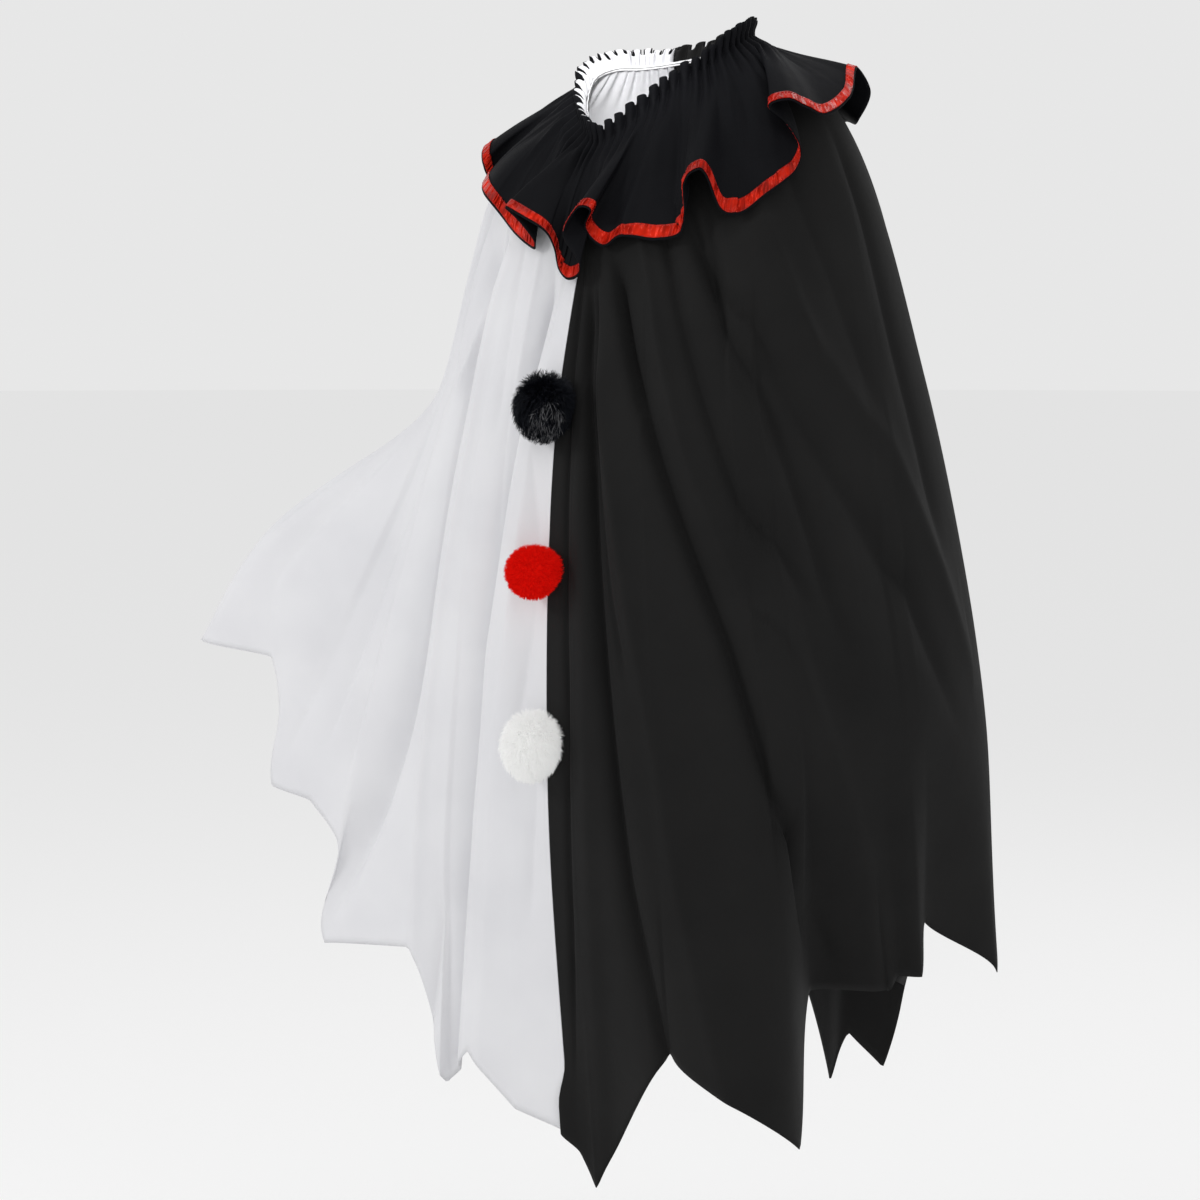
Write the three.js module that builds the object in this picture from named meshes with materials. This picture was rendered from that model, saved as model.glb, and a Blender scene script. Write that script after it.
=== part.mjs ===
// A clown's cape, worn: a hollow, gathered cape that is white on the wearer's right and black on the
// left, seamed at the centre front and the centre back. It has a frilled neck on an elastic, a deep
// black ruffle edged with red satin ribbon, three pompoms down the front seam and a dagged hem.
// Millimetres, +Z up. The front faces -Y, so the wearer's left is +X. The origin is the middle of the neck.
import * as THREE from "three";

// Cloth
const CAPE_WALL = 1.2;
const RUFFLE_WALL = 1.1;
const RIBBON_WALL = 0.8;
const SEAM_GAP = 0.3;

// Neck: the line that the elastic gathers, and the frill that stands above it
const FRILL_HEIGHT = 19;
const FRILL_FLARE = 5;
const FRILL_WAVES = 36;
const FRILL_WAVE = 3.2;
const GATHER_WAVE = 2.2;
const GATHER_FADE = 45;
const GATHER_LEVEL = 25;
const LAYER_STEP = 3.4;
const LAYER_FADE = 30;
const NEAR_NECK = 8;
const ELASTIC_WIDTH = 4;
const ELASTIC_THICK = 1.2;

// Ruffle and ribbon
const RUFFLE_CLEAR = 7;
const DRAW_START = 0.18;
const DRAW_CURVE = 1.15;
const RIBBON_WIDTH = 12;
const RIBBON_INSET = 1.5;

// Folds come in and die out over these shares of the way down.
const FOLD_COMES = 0.25;
const FOLD_DIES = 0.3;

// Pompoms, from their place down the front seam. back is how far each one's back lies off the middle
// of the cloth, whose flat faces run inside its smooth form where the chest is most curved.
const POMPOM_LOCKS_DETAIL = 1;
const POMPOM_SINK = 0.85;
const POMPOM_PRESSED = 0.6;
const LOCK_SHORTEST = 0.7;
const LOCK_PHASE = 2.3;
const POMPOMS = [
  { name: "pompom_black", down: 281, back: -0.1, core: 23.5, lock: 6, tall: 1.18, color: 0x0b0c12 },
  { name: "pompom_red", down: 437, back: 0.9, core: 22.5, lock: 4.5, tall: 1.02, color: 0xc8100c },
  { name: "pompom_white", down: 603, back: 0.9, core: 24, lock: 6, tall: 1.2, color: 0xe8e8e4 },
];

// The line that the elastic gathers, from the front seam round to the wearer's left, in degrees of turn.
const NECK = [
  { turn: 0, at: [0, -78, -69] },
  { turn: 27, at: [55, -71, -28] },
  { turn: 52, at: [95, -53, 2] },
  { turn: 75, at: [112, -29, 25] },
  { turn: 100, at: [112, 2, 34] },
  { turn: 130, at: [84, 33, 28] },
  { turn: 158, at: [38, 51, 18] },
  { turn: 180, at: [-2, 54, 13] },
  { turn: 210, at: [-34, 46, 10] },
  { turn: 240, at: [-53, 22, 8] },
  { turn: 270, at: [-57, -14, -4] },
  { turn: 300, at: [-47, -47, -32] },
  { turn: 332, at: [-25, -71, -60] },
];

// Sections of the cape from the front seam round to the wearer's left, in degrees of turn.
// Each row gives the cloth's place at the shoulder, at the height of the elbow and at the hip.
const SECTIONS = [
  { turn: 0, shoulder: [0, -125, -160], elbow: [0, -182, -360], hip: [0, -197, -690] },
  { turn: 20, shoulder: [52, -122, -148], elbow: [72, -188, -358], hip: [92, -212, -690] },
  { turn: 45, shoulder: [120, -100, -112], elbow: [158, -162, -340], hip: [203, -166, -690] },
  { turn: 70, shoulder: [174, -52, -62], elbow: [228, -95, -310], hip: [278, -92, -665] },
  { turn: 90, shoulder: [199, 2, -42], elbow: [271, -10, -300], hip: [322, -8, -645] },
  { turn: 110, shoulder: [193, 50, -50], elbow: [273, 80, -305], hip: [331, 100, -645] },
  { turn: 130, shoulder: [152, 90, -68], elbow: [224, 140, -325], hip: [280, 168, -665] },
  { turn: 155, shoulder: [82, 118, -80], elbow: [112, 172, -345], hip: [140, 205, -700] },
  { turn: 180, shoulder: [0, 122, -88], elbow: [0, 170, -350], hip: [0, 205, -700] },
  { turn: 205, shoulder: [-72, 112, -96], elbow: [-112, 158, -350], hip: [-150, 188, -700] },
  { turn: 228, shoulder: [-122, 82, -98], elbow: [-188, 128, -342], hip: [-250, 130, -665] },
  { turn: 245, shoulder: [-142, 46, -98], elbow: [-228, 90, -330], hip: [-340, 38, -592] },
  { turn: 256, shoulder: [-152, 18, -96], elbow: [-246, 60, -316], hip: [-388, -40, -522] },
  { turn: 268, shoulder: [-154, -12, -98], elbow: [-248, 26, -308], hip: [-408, -104, -476] },
  { turn: 281, shoulder: [-146, -45, -106], elbow: [-236, -22, -318], hip: [-370, -120, -518] },
  { turn: 294, shoulder: [-135, -68, -115], elbow: [-212, -68, -334], hip: [-298, -130, -588] },
  { turn: 308, shoulder: [-116, -88, -126], elbow: [-184, -104, -346], hip: [-244, -140, -635] },
  { turn: 325, shoulder: [-84, -108, -142], elbow: [-130, -142, -356], hip: [-166, -162, -685] },
  { turn: 342, shoulder: [-42, -122, -154], elbow: [-68, -170, -360], hip: [-92, -182, -690] },
];

// Points and notches of the dagged hem, in the same turns.
const HEM = [
  { turn: 0, at: [0, -156, -1044] },
  { turn: 7, at: [28, -150, -1096] },
  { turn: 27, at: [126, -190, -947] },
  { turn: 50, at: [231, -110, -1042] },
  { turn: 58, at: [206, -42, -900] },
  { turn: 70, at: [279, -12, -900] },
  { turn: 76, at: [285, -5, -884] },
  { turn: 83, at: [308, 2, -884] },
  { turn: 88, at: [302, 22, -833] },
  { turn: 104, at: [341, 110, -895] },
  { turn: 113, at: [316, 122, -795] },
  { turn: 122, at: [262, 162, -862] },
  { turn: 133, at: [212, 184, -846] },
  { turn: 146, at: [176, 188, -1025] },
  { turn: 153, at: [144, 196, -991] },
  { turn: 161, at: [113, 201, -1048] },
  { turn: 171, at: [56, 210, -925] },
  { turn: 180, at: [0, 213, -985] },
  { turn: 190, at: [-52, 210, -1035] },
  { turn: 202, at: [-118, 200, -925] },
  { turn: 214, at: [-188, 182, -985] },
  { turn: 226, at: [-240, 148, -850] },
  { turn: 238, at: [-305, 96, -872] },
  { turn: 249, at: [-345, 30, -715] },
  { turn: 258, at: [-388, -25, -690] },
  { turn: 264, at: [-408, -72, -590] },
  { turn: 270, at: [-462, -125, -577] },
  { turn: 281, at: [-373, -130, -593] },
  { turn: 286, at: [-361, -134, -641] },
  { turn: 293, at: [-367, -140, -725] },
  { turn: 300, at: [-316, -145, -736] },
  { turn: 306, at: [-279, -150, -774] },
  { turn: 316, at: [-295, -150, -882] },
  { turn: 325, at: [-179, -165, -872] },
  { turn: 334, at: [-146, -165, -1010] },
  { turn: 342, at: [-109, -170, -970] },
  { turn: 351, at: [-58, -164, -1024] },
];

// Folds of the cape. Each runs from one turn near the neck, through another at its middle, to a
// third at the hem. A negative depth is a valley. start and end are shares of the way down.
const FOLDS = [
  { top: 5, mid: 11, hem: 9, start: 0.14, end: 1, width: 2.6, depth: 4 },
  { top: 11, mid: 20, hem: 28, start: 0.14, end: 1, width: 4.5, depth: -15 },
  { top: 15, mid: 26, hem: 36, start: 0.12, end: 1, width: 5, depth: 9 },
  { top: 30, mid: 40, hem: 60, start: 0.12, end: 0.95, width: 5.5, depth: -16 },
  { top: 36, mid: 49, hem: 68, start: 0.12, end: 0.9, width: 5, depth: 9 },
  { top: 44, mid: 58, hem: 86, start: 0.12, end: 0.9, width: 5.5, depth: -15 },
  { top: 78, mid: 84, hem: 94, start: 0.3, end: 1, width: 7, depth: -10 },
  { top: 118, mid: 120, hem: 122, start: 0.15, end: 1, width: 7, depth: -16 },
  { top: 134, mid: 138, hem: 140, start: 0.15, end: 1, width: 6, depth: 12 },
  { top: 150, mid: 153, hem: 155, start: 0.15, end: 1, width: 6, depth: -16 },
  { top: 168, mid: 168, hem: 170, start: 0.15, end: 1, width: 6, depth: 12 },
  { top: 192, mid: 194, hem: 196, start: 0.15, end: 1, width: 7, depth: -16 },
  { top: 208, mid: 213, hem: 214, start: 0.15, end: 1, width: 6, depth: 12 },
  { top: 222, mid: 228, hem: 230, start: 0.15, end: 1, width: 6, depth: -15 },
  { top: 236, mid: 240, hem: 242, start: 0.2, end: 1, width: 5, depth: 9 },
  { top: 308, mid: 324, hem: 320, start: 0.14, end: 1, width: 6, depth: -16 },
  { top: 318, mid: 331, hem: 328, start: 0.14, end: 1, width: 4, depth: 8 },
  { top: 326, mid: 338, hem: 338, start: 0.12, end: 1, width: 4, depth: -12 },
  { top: 346, mid: 350, hem: 352, start: 0.12, end: 0.9, width: 4, depth: 5 },
];

// The ruffle's edge, as crests, flanks and troughs. turn is the place at the neck, over is the
// turn of the cape that the edge hangs over, reach is how far it hangs and out how far it stands off.
const EDGE = [
  { turn: 0, over: 4, reach: 147, out: 14 },
  { turn: 4, over: 1, reach: 131, out: 22 },
  { turn: 8, over: -2, reach: 116, out: 30 },
  { turn: 13, over: 6, reach: 100, out: 42 },
  { turn: 17, over: 10, reach: 106, out: 36 },
  { turn: 21, over: 4, reach: 108, out: 18 },
  { turn: 25, over: 11, reach: 134, out: 10 },
  { turn: 29, over: 18, reach: 138, out: 14 },
  { turn: 34, over: 30, reach: 160, out: 10 },
  { turn: 40, over: 39, reach: 160, out: 14 },
  { turn: 44, over: 40, reach: 138, out: 28 },
  { turn: 49, over: 45, reach: 124, out: 42 },
  { turn: 53, over: 48, reach: 142, out: 30 },
  { turn: 57, over: 50, reach: 164, out: 14 },
  { turn: 61, over: 54, reach: 170, out: 10 },
  { turn: 67, over: 62, reach: 164, out: 10 },
  { turn: 73, over: 71, reach: 154, out: 12 },
  { turn: 77, over: 73, reach: 138, out: 16 },
  { turn: 81, over: 70, reach: 112, out: 26 },
  { turn: 85, over: 66, reach: 96, out: 42 },
  { turn: 89, over: 70, reach: 99, out: 48 },
  { turn: 94, over: 74, reach: 112, out: 46 },
  { turn: 100, over: 80, reach: 123, out: 36 },
  { turn: 105, over: 89, reach: 118, out: 32 },
  { turn: 110, over: 98, reach: 104, out: 34 },
  { turn: 114, over: 103, reach: 98, out: 42 },
  { turn: 119, over: 106, reach: 118, out: 38 },
  { turn: 125, over: 112, reach: 132, out: 16 },
  { turn: 136, over: 134, reach: 126, out: 40 },
  { turn: 147, over: 148, reach: 148, out: 10 },
  { turn: 158, over: 156, reach: 132, out: 38 },
  { turn: 169, over: 171, reach: 150, out: 10 },
  { turn: 180, over: 178, reach: 134, out: 36 },
  { turn: 191, over: 193, reach: 150, out: 10 },
  { turn: 202, over: 200, reach: 132, out: 38 },
  { turn: 213, over: 214, reach: 150, out: 10 },
  { turn: 224, over: 221, reach: 130, out: 40 },
  { turn: 235, over: 237, reach: 148, out: 10 },
  { turn: 246, over: 244, reach: 126, out: 34 },
  { turn: 256, over: 258, reach: 132, out: 24 },
  { turn: 266, over: 270, reach: 124, out: 36 },
  { turn: 275, over: 277, reach: 128, out: 28 },
  { turn: 283, over: 275, reach: 146, out: 11 },
  { turn: 290, over: 289, reach: 130, out: 14 },
  { turn: 298, over: 311, reach: 120, out: 24 },
  { turn: 306, over: 323, reach: 122, out: 12 },
  { turn: 317, over: 340, reach: 128, out: 9 },
  { turn: 324, over: 339, reach: 116, out: 26 },
  { turn: 330, over: 334, reach: 108, out: 44 },
  { turn: 338, over: 347, reach: 110, out: 30 },
  { turn: 346, over: 353, reach: 122, out: 18 },
  { turn: 354, over: 360, reach: 150, out: 10 },
];

const TURN = 360;
const SAME_TURN = 0.01;
const CURVE_STEPS = 60;
const SLOPE_TURN = 0.6;
const SLOPE_DOWN = 4;
const radians = THREE.MathUtils.degToRad;
const smooth = (x, a, b) => THREE.MathUtils.smoothstep(x, a, b);
const wrap = (turn) => ((turn % TURN) + TURN) % TURN;

// The row before a turn in a closed table, the share of the way to the next row, and four rows about it.
function about(rows, turn, key) {
  const t = wrap(turn);
  let i = rows.length - 1;
  for (let k = 0; k < rows.length; k += 1) if (rows[k][key] <= t) i = k;
  if (t < rows[0][key]) i = rows.length - 1;
  const four = [-1, 0, 1, 2].map((step) => {
    const n = i + step;
    const lap = Math.floor(n / rows.length) * TURN;
    const row = rows[((n % rows.length) + rows.length) % rows.length];
    return { row, turn: row[key] + lap };
  });
  const here = t < rows[0][key] ? t + TURN : t;
  return { four, share: (here - four[1].turn) / (four[2].turn - four[1].turn) };
}

// A smooth value round a closed table, through every row.
function roundTable(rows, turn, read, key = "turn") {
  const { four, share } = about(rows, turn, key);
  const [p0, p1, p2, p3] = four.map((f) => read(f.row));
  const [t0, t1, t2, t3] = four.map((f) => f.turn);
  const slope = (a, b, c, ta, tb, tc) =>
    (((b - a) / (tb - ta)) * (tc - tb) + ((c - b) / (tc - tb)) * (tb - ta)) / (tc - ta);
  const h = t2 - t1;
  const m1 = slope(p0, p1, p2, t0, t1, t2) * h;
  const m2 = slope(p1, p2, p3, t1, t2, t3) * h;
  const s2 = share * share;
  const s3 = s2 * share;
  return (2 * s3 - 3 * s2 + 1) * p1 + (s3 - 2 * s2 + share) * m1 + (3 * s2 - 2 * s3) * p2 + (s3 - s2) * m2;
}

function straightTable(rows, turn, read) {
  const { four, share } = about(rows, turn, "turn");
  return THREE.MathUtils.lerp(read(four[1].row), read(four[2].row), share);
}

function neckPoint(turn) {
  return new THREE.Vector3(...[0, 1, 2].map((i) => roundTable(NECK, turn, (row) => row.at[i])));
}

function neckOut(turn) {
  const ahead = neckPoint(turn + 1);
  const behind = neckPoint(turn - 1);
  return new THREE.Vector3(ahead.y - behind.y, behind.x - ahead.x, 0).normalize();
}

// One section of the cape, from the gather line to the hem.
const meridians = new Map();
function meridian(turn) {
  const key = wrap(turn).toFixed(4);
  if (!meridians.has(key)) {
    const station = (name) =>
      new THREE.Vector3(...[0, 1, 2].map((i) => roundTable(SECTIONS, turn, (row) => row[name][i])));
    const hem = new THREE.Vector3(
      roundTable(HEM, turn, (row) => row.at[0]),
      roundTable(HEM, turn, (row) => row.at[1]),
      straightTable(HEM, turn, (row) => row.at[2]),
    );
    const points = [neckPoint(turn), station("shoulder"), station("elbow"), station("hip"), hem];
    const curve = new THREE.CatmullRomCurve3(points, false, "centripetal");
    curve.arcLengthDivisions = CURVE_STEPS;
    meridians.set(key, { curve, length: curve.getLength() });
  }
  return meridians.get(key);
}

function smoothCape(turn, down) {
  const { curve, length } = meridian(turn);
  return curve.getPointAt(THREE.MathUtils.clamp(down / length, 0, 1));
}

// Which way the cloth faces at a place, away from the wearer.
function outward(surface, turn, down, top = 0) {
  const side = surface(turn + SLOPE_TURN, down).sub(surface(turn - SLOPE_TURN, down));
  const fall = surface(turn, down + SLOPE_DOWN).sub(surface(turn, Math.max(down - SLOPE_DOWN, top)));
  return fall.cross(side).normalize();
}

// How far the folds push the cape out at a place.
function foldHeight(turn, share) {
  let height = 0;
  for (const fold of FOLDS) {
    const path = share < 0.5
      ? THREE.MathUtils.lerp(fold.top, fold.mid, share * 2)
      : THREE.MathUtils.lerp(fold.mid, fold.hem, share * 2 - 1);
    const away = (wrap(turn - path + TURN / 2) - TURN / 2) / fold.width;
    const along = smooth(share, fold.start, fold.start + FOLD_COMES)
      * (fold.end < 1 ? 1 - smooth(share, fold.end - FOLD_DIES, fold.end) : 1);
    height += fold.depth * Math.exp(-away * away) * along;
  }
  return height;
}

function foldedCape(turn, down) {
  const { length } = meridian(turn);
  const height = foldHeight(turn, down / length);
  return smoothCape(turn, down).addScaledVector(outward(smoothCape, turn, down), height);
}

// The small waves that the elastic draws up, the same in both layers.
function gather(turn, down) {
  const size = down < 0
    ? THREE.MathUtils.lerp(GATHER_WAVE, FRILL_WAVE, -down / FRILL_HEIGHT)
    : GATHER_WAVE * (1 - smooth(down, 0, GATHER_FADE));
  return size * Math.cos(radians(turn) * FRILL_WAVES);
}

// The way the small waves push: level in the frill, turning to the way the cloth faces below it.
function gatherWay(turn, down) {
  const faces = outward(foldedCape, turn, Math.max(down, NEAR_NECK));
  return neckOut(turn).lerp(faces, smooth(down, 0, GATHER_LEVEL)).normalize();
}

// The frill above the gather line.
function frill(turn, down) {
  const lean = gather(turn, down) - (FRILL_FLARE * down) / FRILL_HEIGHT;
  return neckPoint(turn)
    .addScaledVector(neckOut(turn), lean)
    .add(new THREE.Vector3(0, 0, -down));
}

function capePoint(turn, down) {
  if (down < 0) return frill(turn, down);
  return foldedCape(turn, down).addScaledVector(gatherWay(turn, down), gather(turn, down));
}

// The step from the cape to the ruffle at the gather line, clear of both the frill and the shoulder.
function layerStep(turn) {
  const out = neckOut(turn);
  const faces = outward(foldedCape, turn, NEAR_NECK);
  const across = out.clone().multiplyScalar(faces.dot(out)).setZ(faces.z).normalize();
  return out.clone().add(across).multiplyScalar(LAYER_STEP / (1 + out.dot(across)));
}

// The ruffle lying on the cape.
function lyingRuffle(turn, down) {
  const near = 1 - smooth(down, 0, LAYER_FADE);
  return foldedCape(turn, down)
    .addScaledVector(outward(foldedCape, turn, Math.max(down, NEAR_NECK)), RUFFLE_CLEAR * (1 - near))
    .addScaledVector(layerStep(turn), near)
    .addScaledVector(gatherWay(turn, down), gather(turn, down));
}

// How far a column of the ruffle hangs, and how its edge is drawn away from where it would lie.
const ruffleColumns = new Map();
function ruffleColumn(turn) {
  const key = wrap(turn).toFixed(4);
  if (!ruffleColumns.has(key)) {
    const reach = roundTable(EDGE, turn, (row) => row.reach);
    const over = turn + roundTable(EDGE, turn, (row) => row.over - row.turn);
    const out = roundTable(EDGE, turn, (row) => row.out);
    const edge = foldedCape(over, reach).addScaledVector(outward(foldedCape, over, reach), out);
    ruffleColumns.set(key, { reach, draw: edge.sub(lyingRuffle(turn, reach)) });
  }
  return ruffleColumns.get(key);
}

// The ruffle, from the gather line (share 0) to its edge (share 1).
function rufflePoint(turn, share) {
  if (share < 0) return frill(turn, share * FRILL_HEIGHT).add(layerStep(turn));
  const { reach, draw } = ruffleColumn(turn);
  const drawn = Math.max(share - DRAW_START, 0) / (1 - DRAW_START);
  return lyingRuffle(turn, reach * share).addScaledVector(draw, drawn ** DRAW_CURVE);
}

// Joins two rows of vertex numbers, whose turns needn't match, with triangles facing out.
// Where the turns match, the shorter diagonal is taken.
function joinRows(upper, lower, turns, points, faces) {
  let i = 0;
  let j = 0;
  while (i < upper.length - 1 || j < lower.length - 1) {
    let stepUpper = j === lower.length - 1;
    if (i < upper.length - 1 && j < lower.length - 1) {
      const lead = turns[lower[j + 1]] + turns[lower[j]] - turns[upper[i + 1]] - turns[upper[i]];
      const rising = points[upper[i + 1]].distanceTo(points[lower[j]]);
      const falling = points[upper[i]].distanceTo(points[lower[j + 1]]);
      stepUpper = Math.abs(lead) < SAME_TURN ? rising < falling : lead > 0;
    }
    if (stepUpper) {
      faces.push([upper[i], lower[j], upper[i + 1]]);
      i += 1;
    } else {
      faces.push([upper[i], lower[j], lower[j + 1]]);
      j += 1;
    }
  }
}

// A single sheet from rows of { turn, down } places. A closed sheet joins its last column to its first.
function makeSheet(rows, place, closed) {
  const points = [];
  const places = [];
  const turns = [];
  const faces = [];
  const numbered = rows.map((row) => row.map(({ turn, down }) => {
    points.push(place(turn, down));
    places.push({ turn, down });
    turns.push(turn);
    return points.length - 1;
  }));
  if (closed) {
    numbered.forEach((row) => {
      turns.push(turns[row[0]] + TURN);
      points.push(points[row[0]].clone());
      row.push(points.length - 1);
    });
  }
  for (let k = 0; k < numbered.length - 1; k += 1) {
    joinRows(numbered[k], numbered[k + 1], turns, points, faces);
  }
  if (!closed) return { points, places, faces };
  const same = new Map(numbered.map((row) => [row[row.length - 1], row[0]]));
  return { points, faces: faces.map((face) => face.map((n) => same.get(n) ?? n)) };
}

function sheetNormals({ points, faces }) {
  const normals = points.map(() => new THREE.Vector3());
  for (const [a, b, c] of faces) {
    const face = points[b].clone().sub(points[a]).cross(points[c].clone().sub(points[a]));
    [a, b, c].forEach((n) => normals[n].add(face));
  }
  return normals.map((normal) => normal.normalize());
}

// A closed wall between two distances from a sheet.
function wallGeometry(sheet, from, to, normals = sheetNormals(sheet)) {
  const at = (n, distance) => sheet.points[n].clone().addScaledVector(normals[n], distance);
  const corners = [];
  const add = (...points) => points.forEach((p) => corners.push(p.x, p.y, p.z));
  const edges = new Map();
  for (const [a, b, c] of sheet.faces) {
    add(at(a, to), at(b, to), at(c, to));
    add(at(a, from), at(c, from), at(b, from));
    for (const [p, q] of [[a, b], [b, c], [c, a]]) {
      if (edges.has(`${q},${p}`)) edges.delete(`${q},${p}`);
      else edges.set(`${p},${q}`, [p, q]);
    }
  }
  for (const [p, q] of edges.values()) {
    add(at(q, to), at(p, to), at(p, from));
    add(at(q, to), at(p, from), at(q, from));
  }
  return new THREE.BufferGeometry().setAttribute("position", new THREE.Float32BufferAttribute(corners, 3));
}

const cape = new THREE.Group();
function addPiece(name, geometry, color, roughness, metalness = 0) {
  geometry.computeVertexNormals();
  const piece = new THREE.Mesh(geometry, new THREE.MeshStandardMaterial({ color, roughness, metalness }));
  piece.name = name;
  cape.add(piece);
  return piece;
}

// Columns of the frill: four to a wave. Columns below it: the hem's corners, and between them.
function evenTurns(from, to, count) {
  return Array.from({ length: count + 1 }, (_, n) => from + ((to - from) * n) / count);
}

function hemTurns(from, to, widest) {
  const corners = [...HEM.map((row) => row.turn), to].filter((t) => t >= from && t <= to);
  const turns = [];
  for (let k = 0; k < corners.length - 1; k += 1) {
    const parts = Math.max(1, Math.ceil((corners[k + 1] - corners[k]) / widest));
    turns.push(...evenTurns(corners[k], corners[k + 1], parts).slice(0, -1));
  }
  return [...turns, to];
}

// One half of the cape, from seam to seam: the frill, the part under the ruffle, then down to the hem.
const HALF = TURN / 2;
const HALF_FRILL = FRILL_WAVES * 2;
const HALF_UPPER = 48;
const FRILL_ROWS = [-FRILL_HEIGHT, 0, 22];
const UPPER_ROWS = [48, 74, 100, 128, 158];
const LOWER_ROWS = [0.25, 0.35, 0.45, 0.56, 0.67, 0.77, 0.86, 0.93, 1];
const LOWER_FROM = 0.16;
const HEM_COLUMN = 4.7;
const SEAM_AT_NECK = 0.14;
const SEAM_AT_HEM = 0.05;
const SEAM_WIDENS = 400;

function capeHalf(from) {
  const to = from + HALF;
  const rows = [];
  const addRow = (turns, down) => rows.push(turns.map((t) => {
    const inset = THREE.MathUtils.lerp(SEAM_AT_NECK, SEAM_AT_HEM, smooth(down(t), 0, SEAM_WIDENS));
    const turn = THREE.MathUtils.clamp(t, from + inset, to - inset);
    return { turn, down: down(turn) };
  }));
  FRILL_ROWS.forEach((down) => addRow(evenTurns(from, to, HALF_FRILL), () => down));
  UPPER_ROWS.forEach((down) => addRow(evenTurns(from, to, HALF_UPPER), () => down));
  LOWER_ROWS.forEach((share) => addRow(hemTurns(from, to, HEM_COLUMN), (turn) => {
    const { length } = meridian(turn);
    const upper = UPPER_ROWS[UPPER_ROWS.length - 1];
    return upper + (length - upper) * ((share - LOWER_FROM) / (1 - LOWER_FROM));
  }));
  const sheet = makeSheet(rows, capePoint, false);
  const normals = sheetNormals(sheet);
  sheet.places.forEach(({ turn, down }, n) => {
    const atSeam = Math.min(turn - from, to - turn) <= SEAM_AT_NECK;
    if (atSeam) normals[n] = outward(capePoint, Math.round(turn / HALF) * HALF, down, -FRILL_HEIGHT);
  });
  return wallGeometry(sheet, -CAPE_WALL / 2, CAPE_WALL / 2, normals);
}

addPiece("cape_left_black", capeHalf(0), 0x17181a, 0.85);
addPiece("cape_right_white", capeHalf(HALF), 0xe9e9ec, 0.85);

// The ruffle, one closed round, and the ribbon laid on its outer face.
const RUFFLE_COLUMNS = 120;
const RUFFLE_FRILL = [-1, 0, 0.15];
const RUFFLE_ROWS = [0.32, 0.5, 0.67, 0.82];
const RUFFLE_WIDTH = 150;
const frillRound = evenTurns(0, TURN, FRILL_WAVES * 4).slice(0, -1);
const ruffleRound = evenTurns(0, TURN, RUFFLE_COLUMNS).slice(0, -1);
const edgeRows = [1 - (RIBBON_INSET + RIBBON_WIDTH) / RUFFLE_WIDTH, 1 - RIBBON_INSET / RUFFLE_WIDTH, 1];
const ruffleRows = [
  ...RUFFLE_FRILL.map((down) => frillRound.map((turn) => ({ turn, down }))),
  ...[...RUFFLE_ROWS, ...edgeRows].map((down) => ruffleRound.map((turn) => ({ turn, down }))),
];
const ruffle = makeSheet(ruffleRows, rufflePoint, true);
addPiece("ruffle", wallGeometry(ruffle, -RUFFLE_WALL / 2, RUFFLE_WALL / 2), 0x141417, 0.7);

const ribbonBase = RUFFLE_WALL / 2 + SEAM_GAP;
const firstRibbon = ruffleRows.slice(0, -edgeRows.length).reduce((sum, row) => sum + row.length, 0);
const isRibbon = (n) => n >= firstRibbon && n < firstRibbon + 2 * RUFFLE_COLUMNS;
function ribbonGeometry() {
  const normals = sheetNormals(ruffle);
  const points = ruffle.points.map((p, n) => p.clone().addScaledVector(normals[n], ribbonBase));
  const faces = ruffle.faces.filter((face) => face.every(isRibbon));
  return wallGeometry({ points, faces }, 0, RIBBON_WALL);
}
addPiece("ribbon", ribbonGeometry(), 0xc81a10, 0.35);

// The elastic: a flat band inside the gather line.
function elasticGeometry() {
  const inside = GATHER_WAVE + CAPE_WALL / 2 + SEAM_GAP;
  const band = [ELASTIC_WIDTH / 2, -ELASTIC_WIDTH / 2];
  const turns = evenTurns(0, TURN, FRILL_WAVES * 2).slice(0, -1);
  const rows = band.map((rise) => turns.map((turn) => ({ turn, down: -rise })));
  const place = (turn, down) => neckPoint(turn)
    .addScaledVector(neckOut(turn), -inside)
    .add(new THREE.Vector3(0, 0, -down));
  return wallGeometry(makeSheet(rows, place, true), -ELASTIC_THICK, 0);
}

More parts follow.
